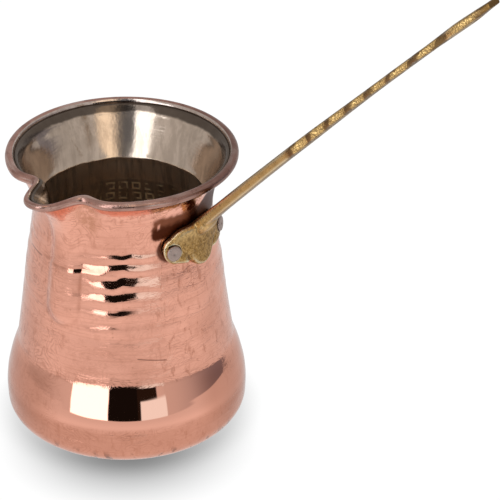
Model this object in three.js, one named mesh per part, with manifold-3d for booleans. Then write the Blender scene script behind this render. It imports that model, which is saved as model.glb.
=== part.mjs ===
// Turkish coffee pot (cezve): a raised copper pot with a poured lip, tinned inside, and a cast brass
// handle held on by two rivets. Millimetres, +Z up. The origin is the centre of the flat underside.
// The handle points along +X and the pouring lip along -Y.
import * as THREE from 'three';
import { mergeVertices } from 'three/addons/utils/BufferGeometryUtils.js';
import Module from 'manifold-3d';

// Driving dimensions of the pot
const POT_HEIGHT = 89.2;
const BELLY_RADIUS = 36.4;
const BASE_FLAT_RADIUS = 29.5;
const NECK_RADIUS = 26.8;
const COPPER_THICKNESS = 1.2;
const TIN_THICKNESS = 0.25;
const ASSEMBLY_GAP = 0.3;

// Rolled lip round the mouth
const BEAD_RADIUS = 1.4;
const BEAD_RING_RADIUS = 33;
const BEAD_HEIGHT = POT_HEIGHT - BEAD_RADIUS;
const RIM_LEAN = 0.4;
const RIM_LEAN_ANGLE = THREE.MathUtils.degToRad(-30);

// Pouring spout, pressed out of the wall below the lip
const SPOUT_ANGLE = THREE.MathUtils.degToRad(-89.5);
const SPOUT_HALF_ANGLE = THREE.MathUtils.degToRad(10.5);
const SPOUT_REACH = 8.2;
const CHANNEL_REACH = 1.7;
const CHANNEL_FOOT = 43.5;
const CHANNEL_SHOULDER = 49;
const SPOUT_FOOT = 66;
const BEAK_CURL = 1.8;
const PINCH_DEPTH = 2.8;
const PINCH_ANGLE = THREE.MathUtils.degToRad(17.5);
const PINCH_HALF_ANGLE = THREE.MathUtils.degToRad(8);
const PINCH_FOOT = 76;

// Cast brass handle
const SADDLE_THICKNESS = 2.5;
const SADDLE_BOTTOM = 60.1;
const SADDLE_TOP = 74;
const STEM_ROOT = new THREE.Vector2(28.6, 72.6);
const STEM_BOW = new THREE.Vector2(74.4, 121.9);
const STEM_TIP = new THREE.Vector2(126.4, 172.4);
const HANGING_HOLE_RADIUS = 2;

// Places along the stem, as shares of its length from the saddle
const LOBE_COUNT = 6;
const FIRST_LOBE = 0.384;
const LOBE_PITCH = 0.0656;
const LOBE_HALF_LENGTH = 0.022;
const LOBE_SWELL = 2.4;
const KNOT_PLACE = 0.796;
const KNOT_SWELL = 3.2;
const HANGING_HOLE_PLACE = 0.945;

// Rivets
const RIVET_ANGLE = THREE.MathUtils.degToRad(22);
const RIVET_HEIGHT = 67.8;
const RIVET_SHANK_RADIUS = 1.5;
const RIVET_HEAD_RADIUS = 2.33;
const RIVET_SEAT_DEPTH = 0.6;
const RIVET_HEAD_RISE = 0.55;
const RIVET_TAIL_HEIGHT = 0.9;
const NECK_SLOPE = 0.1;

// Mesh fineness
const WALL_SEGMENTS = 48;
const SPOUT_CROWDING = 0.5;
const WALL_STEPS = 16;
const CORNER_STEPS = 4;
const BEAD_STEPS = 6;
const SADDLE_SEGMENTS = 60;
const STEM_SEGMENTS = 64;
const RIVET_SEGMENTS = 16;

const wasm = await Module();
wasm.setup();

// A closed three.js mesh as a manifold solid: only positions are kept, and shared corners are joined.
function toSolid(geometry) {
  const bare = geometry.clone();
  bare.deleteAttribute('normal');
  bare.deleteAttribute('uv');
  const merged = mergeVertices(bare, 1e-4);
  return new wasm.Manifold(new wasm.Mesh({
    numProp: 3,
    vertProperties: new Float32Array(merged.attributes.position.array),
    triVerts: new Uint32Array(merged.index.array),
  }));
}

function toGeometry(solid) {
  const mesh = solid.getMesh();
  const geometry = new THREE.BufferGeometry();
  geometry.setAttribute('position', new THREE.BufferAttribute(new Float32Array(mesh.vertProperties), 3));
  geometry.setIndex(new THREE.BufferAttribute(new Uint32Array(mesh.triVerts), 1));
  geometry.computeVertexNormals();
  return geometry;
}

function part(name, geometry, color, roughness) {
  const material = new THREE.MeshStandardMaterial({ color, roughness, metalness: 1 });
  const mesh = new THREE.Mesh(geometry, material);
  mesh.name = name;
  return mesh;
}

// 0 below the first value, 1 above the second, and a soft S between them.
function rise(value, from, to) {
  return THREE.MathUtils.smoothstep(value, from, to);
}

function bell(distance, halfWidth) {
  return Math.exp(-((distance / halfWidth) ** 2));
}

function angleBetween(angle, centre) {
  return Math.atan2(Math.sin(angle - centre), Math.cos(angle - centre));
}

// The outer wall from the edge of the flat base up to the start of the rolled lip.
const wallCurve = new THREE.SplineCurve([
  new THREE.Vector2(BELLY_RADIUS, 8),
  new THREE.Vector2(BELLY_RADIUS, 16),
  new THREE.Vector2(34, 24),
  new THREE.Vector2(31.6, 33),
  new THREE.Vector2(30.5, 43),
  new THREE.Vector2(29.2, 54),
  new THREE.Vector2(27.5, 64),
  new THREE.Vector2(NECK_RADIUS, 71),
  new THREE.Vector2(27.5, 77),
  new THREE.Vector2(29.4, 82.5),
  new THREE.Vector2(32.2, 86.6),
]);

function baseCorner() {
  const radius = BELLY_RADIUS - BASE_FLAT_RADIUS;
  const arc = new THREE.EllipseCurve(BASE_FLAT_RADIUS, radius, radius, radius, -Math.PI / 2, 0);
  return arc.getPoints(CORNER_STEPS);
}

// The points of the outer wall, each with its outward normal, as [point, normal].
function wallStations() {
  const points = [...baseCorner(), ...wallCurve.getPoints(WALL_STEPS).slice(1)];
  return points.map((point, i) => {
    const before = points[Math.max(i - 1, 0)];
    const after = points[Math.min(i + 1, points.length - 1)];
    const along = after.clone().sub(before).normalize();
    const normal = i === 0 ? new THREE.Vector2(0, -1) : new THREE.Vector2(along.y, -along.x);
    return [point, normal];
  });
}

const stations = wallStations();

// The wall's outline moved in (negative) or out (positive) along its normal.
function wallOffset(distance) {
  return stations.map(([point, normal]) => point.clone().addScaledVector(normal, distance));
}

function wallRadius(height) {
  const points = wallCurve.getPoints(200);
  return points.find((point) => point.y >= height).x;
}

// How far the wall stands out of round at an angle and height: the spout, its two pinches and the lean.
function outOfRound(angle, height) {
  const off = angleBetween(angle, SPOUT_ANGLE);
  const channel = CHANNEL_REACH * rise(height, CHANNEL_FOOT, CHANNEL_SHOULDER);
  const climb = THREE.MathUtils.clamp((height - SPOUT_FOOT) / (POT_HEIGHT - SPOUT_FOOT), 0, 1);
  const beak = (SPOUT_REACH - CHANNEL_REACH) * climb ** BEAK_CURL;
  const lobe = Math.exp(-(Math.abs(off / SPOUT_HALF_ANGLE) ** 3));
  const pinches = bell(off - PINCH_ANGLE, PINCH_HALF_ANGLE) + bell(off + PINCH_ANGLE, PINCH_HALF_ANGLE);
  const pinch = PINCH_DEPTH * rise(height, PINCH_FOOT, POT_HEIGHT) * pinches;
  const lean = RIM_LEAN * rise(height, SADDLE_TOP, POT_HEIGHT) * Math.cos(angle - RIM_LEAN_ANGLE);
  return (channel + beak) * lobe - pinch + lean;
}

// A wall made by turning an outline about Z, then pushing it out of round. The turning steps are
// closest together at the spout.
function turnedWall(outline) {
  const geometry = new THREE.LatheGeometry(outline, WALL_SEGMENTS);
  geometry.rotateX(Math.PI / 2);
  const position = geometry.attributes.position;
  for (let i = 0; i < position.count; i += 1) {
    const radius = Math.hypot(position.getX(i), position.getY(i));
    const even = Math.atan2(position.getY(i), position.getX(i)) + Math.PI / 2;
    const angle = SPOUT_ANGLE + even - SPOUT_CROWDING * Math.sin(even);
    const height = position.getZ(i);
    const pushed = radius > 1 ? radius + outOfRound(angle, height) : 0;
    position.setXY(i, pushed * Math.cos(angle), pushed * Math.sin(angle));
  }
  return geometry;
}

function arcPoints(centreRadius, centreHeight, radius, fromDegrees, toDegrees, steps) {
  const toRad = THREE.MathUtils.degToRad;
  const clockwise = toDegrees < fromDegrees;
  const arc = new THREE.EllipseCurve(
    centreRadius, centreHeight, radius, radius, toRad(fromDegrees), toRad(toDegrees), clockwise,
  );
  return arc.getPoints(steps);
}

// The raised copper pot: base, belly, neck, funnel and the rolled lip in one piece.
function copperBodyGeometry() {
  const outer = wallOffset(0);
  const lip = arcPoints(BEAD_RING_RADIUS, BEAD_HEIGHT, BEAD_RADIUS, -75, 160, BEAD_STEPS);
  const inner = wallOffset(-COPPER_THICKNESS).reverse();
  const outline = [new THREE.Vector2(0, 0), ...outer, ...lip, ...inner, new THREE.Vector2(0, COPPER_THICKNESS)];
  return turnedWall(outline);
}

// The tin that the inside is wiped with, as a thin shell up to the crest of the lip.
function tinLiningGeometry() {
  const outside = -(COPPER_THICKNESS + ASSEMBLY_GAP);
  const inside = outside - TIN_THICKNESS;
  const rimHeight = POT_HEIGHT - 1;
  const topOutside = new THREE.Vector2(BEAD_RING_RADIUS - BEAD_RADIUS - ASSEMBLY_GAP, rimHeight);
  const topInside = new THREE.Vector2(topOutside.x - TIN_THICKNESS, rimHeight);
  const outline = [
    new THREE.Vector2(0, -outside),
    ...wallOffset(outside),
    topOutside,
    topInside,
    ...wallOffset(inside).reverse(),
    new THREE.Vector2(0, -inside),
  ];
  return turnedWall(outline);
}

// The way a rivet points, and the middle of its seat on the saddle's face.
function rivetAxis(side) {
  const angle = side * RIVET_ANGLE;
  return new THREE.Vector3(Math.cos(angle), Math.sin(angle), NECK_SLOPE).normalize();
}

function rivetSeat(side) {
  const radius = wallRadius(RIVET_HEIGHT) + ASSEMBLY_GAP + SADDLE_THICKNESS;
  const angle = side * RIVET_ANGLE;
  return new THREE.Vector3(radius * Math.cos(angle), radius * Math.sin(angle), RIVET_HEIGHT);
}

// Puts a geometry whose own axis is +Y on a rivet's axis, with its origin at the rivet's seat.
function ontoRivet(geometry, side) {
  const turn = new THREE.Quaternion().setFromUnitVectors(new THREE.Vector3(0, 1, 0), rivetAxis(side));
  geometry.applyQuaternion(turn);
  const seat = rivetSeat(side);
  geometry.translate(seat.x, seat.y, seat.z);
  return geometry;
}

// The hole that a rivet's shank passes through, long enough for the saddle and both walls.
function rivetHole(side) {
  const radius = RIVET_SHANK_RADIUS + ASSEMBLY_GAP;
  return toSolid(ontoRivet(new THREE.CylinderGeometry(radius, radius, 16, RIVET_SEGMENTS), side));
}

// The shallow round seat that the rivet's head sits in.
function rivetRecess(side) {
  const radius = RIVET_HEAD_RADIUS + ASSEMBLY_GAP;
  const cutter = new THREE.CylinderGeometry(radius, radius, 4, 2 * RIVET_SEGMENTS);
  cutter.translate(0, 2 - RIVET_SEAT_DEPTH, 0);
  return toSolid(ontoRivet(cutter, side));
}

function withRivetHoles(solid) {
  return [-1, 1].reduce((rest, side) => rest.subtract(rivetHole(side)), solid);
}

// A rivet as set: dimpled head in its seat, shank, and the head hammered down inside the pot.
function rivetGeometry(side) {
  const stack = SADDLE_THICKNESS + COPPER_THICKNESS + TIN_THICKNESS + 3 * ASSEMBLY_GAP;
  const underHead = ASSEMBLY_GAP - RIVET_SEAT_DEPTH;
  const tailRadius = RIVET_HEAD_RADIUS - 0.1;
  const dimple = 0.2;
  const outline = [
    new THREE.Vector2(0, -stack - RIVET_TAIL_HEIGHT),
    new THREE.Vector2(tailRadius * 0.55, -stack - RIVET_TAIL_HEIGHT * 0.9),
    new THREE.Vector2(tailRadius * 0.95, -stack - RIVET_TAIL_HEIGHT * 0.45),
    new THREE.Vector2(tailRadius, -stack),
    new THREE.Vector2(RIVET_SHANK_RADIUS, -stack),
    new THREE.Vector2(RIVET_SHANK_RADIUS, underHead),
    new THREE.Vector2(RIVET_HEAD_RADIUS, underHead),
    new THREE.Vector2(RIVET_HEAD_RADIUS, RIVET_HEAD_RISE * 0.35),
    new THREE.Vector2(RIVET_HEAD_RADIUS * 0.83, RIVET_HEAD_RISE * 0.9),
    new THREE.Vector2(RIVET_HEAD_RADIUS * 0.2, RIVET_HEAD_RISE),
    new THREE.Vector2(0, RIVET_HEAD_RISE - dimple),
  ];
  return ontoRivet(new THREE.LatheGeometry(outline, RIVET_SEGMENTS), side);
}

// Outline of the saddle from the front, as (Y, Z): two round ears with the rivets and a middle lobe.
function saddleOutline() {
  const earCentre = new THREE.Vector2(10.6, RIVET_HEIGHT);
  const earAcross = 3.1;
  const earUp = 4.1;
  const right = new THREE.Path();
  right.moveTo(0, SADDLE_BOTTOM);
  right.quadraticCurveTo(3.4, SADDLE_BOTTOM, 4.7, 62.6);
  right.quadraticCurveTo(8, 62.2, earCentre.x, earCentre.y - earUp);
  right.absellipse(earCentre.x, earCentre.y, earAcross, earUp, -Math.PI / 2, Math.PI * 0.42, false);
  right.quadraticCurveTo(8.5, SADDLE_TOP, 5, SADDLE_TOP);
  const half = right.getPoints(6);
  const mirrored = half.slice(1).reverse().map((point) => new THREE.Vector2(-point.x, point.y));
  return new THREE.Shape([...half, ...mirrored]);
}

// The saddle's plate: a ring that follows the neck, cut to the outline.
function saddleSolid() {
  const slices = 6;
  const inner = [];
  const outer = [];
  for (let i = 0; i <= slices; i += 1) {
    const height = THREE.MathUtils.lerp(SADDLE_BOTTOM - 1, SADDLE_TOP + 1, i / slices);
    const radius = wallRadius(height) + ASSEMBLY_GAP;
    inner.push(new THREE.Vector2(radius, height));
    outer.push(new THREE.Vector2(radius + SADDLE_THICKNESS, height));
  }
  const ring = new THREE.LatheGeometry([...outer, ...inner.reverse(), outer[0]], SADDLE_SEGMENTS);
  ring.rotateX(Math.PI / 2);
  const plate = new THREE.ExtrudeGeometry(saddleOutline(), { depth: BELLY_RADIUS, bevelEnabled: false });
  // Shape (x, y) and depth z become Y, Z and X.
  plate.applyMatrix4(new THREE.Matrix4().set(0, 0, 1, 0, 1, 0, 0, 0, 0, 1, 0, 0, 0, 0, 0, 1));
  return toSolid(ring).intersect(toSolid(plate));
}

// A value that runs smoothly through stations, given as [place, value] in order of place.
function along(placed, place) {
  const next = placed.findIndex(([at]) => at >= place);
  if (next <= 0) {
    return placed[0][1];
  }
  const [from, start] = placed[next - 1];
  const [to, end] = placed[next];
  return THREE.MathUtils.lerp(start, end, rise(place, from, to));
}

function stemThickness(place) {
  return along([[0, 3.8], [0.12, 3.3], [0.36, 3], [0.66, 2.2], [0.8, 2.2], [0.91, 2.7], [1, 1.9]], place);
}

// The stem is slim at the saddle, has a row of rounded lobes, and ends in a blunt leaf.
function stemWidth(place) {
  const bar = along([[0, 5.6], [0.36, 6.4], [0.8, 6.8], [0.86, 6.4], [0.92, 12], [1, 5]], place);
  let lobes = 0;
  for (let i = 0; i < LOBE_COUNT; i += 1) {
    lobes += LOBE_SWELL * bell(place - FIRST_LOBE - LOBE_PITCH * i, LOBE_HALF_LENGTH);
  }
  return bar + lobes + KNOT_SWELL * bell(place - KNOT_PLACE, LOBE_HALF_LENGTH);
}

// The stem: a bar whose width and thickness change along a slightly bowed line in the XZ plane.
function stemGeometry() {
  const line = new THREE.QuadraticBezierCurve(STEM_ROOT, STEM_BOW, STEM_TIP);
  const geometry = new THREE.BoxGeometry(1, 2, 2, STEM_SEGMENTS, 4, 2);
  const position = geometry.attributes.position;
  for (let i = 0; i < position.count; i += 1) {
    const place = position.getX(i) + 0.5;
    const across = position.getY(i);
    const through = position.getZ(i);
    const middle = line.getPoint(place);
    const ahead = line.getTangent(place);
    const y = (stemWidth(place) / 2) * across * (1 - 0.1 * through ** 2);
    const lift = (stemThickness(place) / 2) * through * (1 - 0.3 * across ** 4);
    position.setXYZ(i, middle.x - ahead.y * lift, y, middle.y + ahead.x * lift);
  }
  return geometry;
}

// The hole by which the pot hangs, square through the leaf at the stem's end.
function hangingHole() {
  const line = new THREE.QuadraticBezierCurve(STEM_ROOT, STEM_BOW, STEM_TIP);
  const middle = line.getPoint(HANGING_HOLE_PLACE);
  const ahead = line.getTangent(HANGING_HOLE_PLACE);
  const cutter = new THREE.CylinderGeometry(HANGING_HOLE_RADIUS, HANGING_HOLE_RADIUS, 12, RIVET_SEGMENTS);
  const normal = new THREE.Vector3(-ahead.y, 0, ahead.x);
  cutter.applyQuaternion(new THREE.Quaternion().setFromUnitVectors(new THREE.Vector3(0, 1, 0), normal));
  cutter.translate(middle.x, 0, middle.y);
  return toSolid(cutter);
}

function handleGeometry() {
  const casting = saddleSolid().add(toSolid(stemGeometry())).subtract(hangingHole());
  const seated = [-1, 1].reduce((rest, side) => rest.subtract(rivetRecess(side)), casting);
  return toGeometry(withRivetHoles(seated));
}

const pot = new THREE.Group();
pot.add(part('copper_body', toGeometry(withRivetHoles(toSolid(copperBodyGeometry()))), 0xd99a80, 0.22));
pot.add(part('tin_lining', toGeometry(withRivetHoles(toSolid(tinLiningGeometry()))), 0xb5aca0, 0.35));
pot.add(part('brass_handle', handleGeometry(), 0xa98048, 0.5));
pot.add(part('rivet_spout_side', rivetGeometry(-1), 0x9e8f86, 0.45));
pot.add(part('rivet_far_side', rivetGeometry(1), 0x9e8f86, 0.45));

export default pot;
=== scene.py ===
"""Looks of a coffee pot: a hammered copper pot, its tin lining, a cast brass handle and two rivets.

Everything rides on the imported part's one body. The row frame is in metres, with its origin at the centre
of the flat underside, +Z up, the handle along +X and the pouring lip along -Y. The sizes below are in
millimetres and degrees, and MM turns them into metres where a mesh is made.
"""

import logging
import math
from dataclasses import dataclass
from enum import Enum
from functools import reduce
from typing import NamedTuple

import bpy
import numpy as np
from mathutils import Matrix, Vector


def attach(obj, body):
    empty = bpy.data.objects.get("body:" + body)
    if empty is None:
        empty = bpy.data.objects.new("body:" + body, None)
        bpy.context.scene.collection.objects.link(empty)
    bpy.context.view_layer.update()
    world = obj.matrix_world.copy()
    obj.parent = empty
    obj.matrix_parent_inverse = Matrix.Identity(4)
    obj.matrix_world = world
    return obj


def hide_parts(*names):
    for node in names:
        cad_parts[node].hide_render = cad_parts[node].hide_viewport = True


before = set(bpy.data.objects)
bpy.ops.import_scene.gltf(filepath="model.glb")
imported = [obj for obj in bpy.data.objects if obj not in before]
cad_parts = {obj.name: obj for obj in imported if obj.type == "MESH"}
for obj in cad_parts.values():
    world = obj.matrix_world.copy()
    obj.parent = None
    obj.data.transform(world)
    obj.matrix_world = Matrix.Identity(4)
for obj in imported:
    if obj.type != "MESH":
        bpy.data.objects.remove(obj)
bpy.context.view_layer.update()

MM = 0.001
BODY = "root"
CREASE = "crease"
Colour = tuple[float, float, float, float]
Value = bpy.types.NodeSocket | float
log = logging.getLogger("coffee_pot")


class Slot(Enum):
    """The record's material slots."""

    COPPER = "copper"
    TIN = "tin"
    BRASS = "handle_brass"
    RIVET = "rivet"


class Side(Enum):
    """The side of the handle that a rivet is on, as the sign of its angle."""

    SPOUT = -1
    FAR = 1


class Combine(Enum):
    """What is done with a closed piece that meets another."""

    JOIN = "UNION"
    CUT = "DIFFERENCE"


class Zone(NamedTuple):
    """A stretch of turn, height or length: its middle, half its width and the softness of its edges."""

    middle: float
    half_width: float
    soft: float


class Fade(NamedTuple):
    """A soft change along a turn, a height or a length, with the values before and after it."""

    start: float
    end: float
    before: float = 0.0
    after: float = 1.0


# ---------------------------------------------------------------------------------------------------
# Curves, noise and meshes


def rise(value: np.ndarray, low: float, high: float) -> np.ndarray:
    """A soft S from 0 at low to 1 at high."""
    share = np.clip((value - low) / (high - low), 0, 1)
    return share * share * (3 - 2 * share)


def bell(distance: np.ndarray, half_width: float) -> np.ndarray:
    """1 at the middle, falling to about a third at half_width."""
    return np.exp(-((distance / half_width) ** 2))


def turn_between(angle: np.ndarray, centre: float) -> np.ndarray:
    """The signed turn from centre to angle, within half a turn."""
    return np.arctan2(np.sin(angle - centre), np.cos(angle - centre))


def turned_bell(angle: np.ndarray, middle: float, half_turn: float) -> np.ndarray:
    """A bell round the pot at an angle, its middle and its half width given in degrees."""
    return bell(turn_between(angle, math.radians(middle)), math.radians(half_turn))


def through_points(points: list, steps: int) -> np.ndarray:
    """A smooth curve through points.

    Args:
        points: The points that the curve passes, each (radius, height).
        steps: The number of steps between two neighbouring points.

    Returns:
        The curve's points, one row each.
    """
    known = np.array(points, float)
    ends = np.vstack([known[:1], known, known[-1:]])
    share = np.linspace(0, 1, steps, endpoint=False)[:, None]
    pieces = []
    for i in range(len(known) - 1):
        before, start, stop, after = ends[i : i + 4]
        leave = (stop - before) / 2
        arrive = (after - start) / 2
        cubic = 2 * start - 2 * stop + leave + arrive
        square = -3 * start + 3 * stop - 2 * leave - arrive
        pieces.append(((cubic * share + square) * share + leave) * share + start)
    return np.vstack([*pieces, known[-1:]])


def evenly(points: np.ndarray, pitch: float) -> np.ndarray:
    """The same line with its points evenly apart.

    Args:
        points: The line's points, one row each.
        pitch: The wanted distance between neighbours.

    Returns:
        The new points, about pitch apart.
    """
    steps = np.hypot(*np.diff(points, axis=0).T)
    travelled = np.concatenate([[0], np.cumsum(steps)])
    count = max(2, round(travelled[-1] / pitch) + 1)
    wanted = np.linspace(0, travelled[-1], count)
    return np.column_stack([np.interp(wanted, travelled, points[:, k]) for k in (0, 1)])


def arc(centre: tuple, radius: float, start: float, stop: float, steps: int) -> np.ndarray:
    """Points on a circle of that centre and radius, from the angle start to stop in degrees."""
    turn = np.radians(np.linspace(start, stop, steps + 1))
    return np.column_stack([centre[0] + radius * np.cos(turn), centre[1] + radius * np.sin(turn)])


def side_normals(points: np.ndarray) -> np.ndarray:
    """The unit normal to the right of a line at each of its points."""
    ahead = np.gradient(points, axis=0)
    return np.column_stack([ahead[:, 1], -ahead[:, 0]]) / np.linalg.norm(ahead, axis=1)[:, None]


def lattice_noise(u: np.ndarray, v: np.ndarray, seed: int, wrap: int = 0) -> np.ndarray:
    """Soft random values from -1 to 1, one for each cell of a unit lattice.

    Args:
        u: Places along the lattice's rows.
        v: Places across the rows.
        seed: The seed of the random values.
        wrap: The number of cells after which u repeats, or 0 for a long stretch without repeats.

    Returns:
        The value at each place.
    """
    size = 512
    table = np.random.default_rng(seed).uniform(-1, 1, (size, size))
    u, v = np.broadcast_arrays(u, v)
    cell_u, cell_v = np.floor(u).astype(int), np.floor(v).astype(int)
    part_u, part_v = rise(u - cell_u, 0, 1), rise(v - cell_v, 0, 1)
    period = wrap or size

    def value(step_u: int, step_v: int) -> np.ndarray:
        """The lattice's value at a cell's corner."""
        return table[(cell_u + step_u) % period % size, (cell_v + step_v) % size]

    low = value(0, 0) * (1 - part_u) + value(1, 0) * part_u
    high = value(0, 1) * (1 - part_u) + value(1, 1) * part_u
    return low * (1 - part_v) + high * part_v


def lap_noise(lap: np.ndarray, cells: float, level: np.ndarray, seed: int) -> np.ndarray:
    """Soft random values round the pot, with that many cells in one lap and a new set at each level."""
    return lattice_noise(lap * cells % cells, level, seed, round(cells))


def ring_faces(rings: int, segments: int) -> np.ndarray:
    """Four-cornered faces between neighbouring closed rings of vertices.

    Args:
        rings: The number of rings.
        segments: The vertices in each ring.

    Returns:
        One row of four vertex numbers for each face.
    """
    first = np.arange(rings - 1)[:, None] * segments
    here = np.arange(segments)[None, :]
    beyond = (here + 1) % segments
    corners = [first + here, first + beyond, first + segments + beyond, first + segments + here]
    return np.stack(corners, axis=-1).reshape(-1, 4)


def fan_faces(centre: int, ring: np.ndarray, turned_over: bool) -> list:
    """Triangles from a centre vertex to a closed ring.

    Args:
        centre: The centre vertex's number.
        ring: The numbers of the ring's vertices.
        turned_over: Whether the triangles go round the other way.

    Returns:
        Three vertex numbers for each triangle.
    """
    following = np.roll(ring, -1)
    pairs = zip(following, ring) if turned_over else zip(ring, following)
    return [[centre, int(a), int(b)] for a, b in pairs]


def make_piece(name: str, vertices: np.ndarray, faces: list) -> bpy.types.Object:
    """A smooth-shaded mesh object in the scene.

    Args:
        name: The object's name.
        vertices: Its points in millimetres, one row each.
        faces: The vertex numbers of each face.

    Returns:
        The mesh object.
    """
    mesh = bpy.data.meshes.new(name)
    mesh.from_pydata((vertices * MM).tolist(), [], faces)
    mesh.validate()
    mesh.shade_smooth()
    piece = bpy.data.objects.new(name, mesh)
    bpy.context.scene.collection.objects.link(piece)
    return piece


def capped_tube(name: str, rings: np.ndarray, ends: list, turned_over: bool = False) -> bpy.types.Object:
    """A closed mesh object from a stack of rings, with a fan of triangles at each end.

    Args:
        name: The object's name.
        rings: The points of each ring, in millimetres.
        ends: The points in the middle of the first ring and of the last one.
        turned_over: Whether the faces go round the other way, for rings stacked towards the object's inside.

    Returns:
        The mesh object.
    """
    count, segments = rings.shape[:2]
    points = rings.reshape(-1, 3)
    first = np.arange(segments)
    sides = ring_faces(count, segments)
    faces = (sides[:, ::-1] if turned_over else sides).tolist()
    faces += fan_faces(len(points), first, not turned_over)
    faces += fan_faces(len(points) + 1, first + (count - 1) * segments, turned_over)
    return make_piece(name, np.vstack([points, ends]), faces)


def turned_on_axis(name: str, profile: list, foot: Vector, axis: Vector, segments: int) -> bpy.types.Object:
    """A closed solid turned about any axis.

    Args:
        name: The object's name.
        profile: Points of (radius, height) from the bottom to the top, the first and last on the axis.
        foot: The point that height 0 lies on, in millimetres.
        axis: The direction of the height.
        segments: The vertices in each ring.

    Returns:
        The mesh object.
    """
    outline = np.array(profile, float)
    angle = np.linspace(0, 2 * math.pi, segments, endpoint=False)
    radius, height = outline[1:-1, :1], outline[1:-1, 1:]
    x, y = radius * np.cos(angle), radius * np.sin(angle)
    rings = np.stack([x, y, np.broadcast_to(height, x.shape)], axis=-1)
    ends = np.array([[0, 0, outline[0, 1]], [0, 0, outline[-1, 1]]])
    turn = np.array(axis.normalized().to_track_quat("Z", "Y").to_matrix())
    return capped_tube(name, rings @ turn.T + np.array(foot), ends @ turn.T + np.array(foot))


def settle_modifiers(piece: bpy.types.Object) -> None:
    """Applies all of a piece's modifiers to its mesh.

    Args:
        piece: The mesh object.
    """
    graph = bpy.context.evaluated_depsgraph_get()
    graph.update()
    done = bpy.data.meshes.new_from_object(piece.evaluated_get(graph))
    piece.modifiers.clear()
    piece.data = done


def combine(piece: bpy.types.Object, others: list, way: Combine) -> None:
    """Joins other closed pieces to a piece or cuts them out of it, and removes them.

    Args:
        piece: The piece that is kept.
        others: The other pieces.
        way: Whether they are joined or cut out.
    """
    for other in others:
        step = piece.modifiers.new("combine", "BOOLEAN")
        step.operation = way.value
        step.solver = "EXACT"
        step.object = other
        settle_modifiers(piece)
        bpy.data.objects.remove(other)


def mount_piece(piece: bpy.types.Object, node: str) -> None:
    """Puts a piece in a CAD node's place and on the part's body, and hides the CAD node.

    Args:
        piece: The mesh object.
        node: The CAD node's name.
    """
    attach(piece, BODY)
    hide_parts(node)


# ---------------------------------------------------------------------------------------------------
# Shader graphs


def grey(tone: float) -> Colour:
    """A grey of that tone."""
    return (tone, tone, tone, 1.0)


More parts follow.
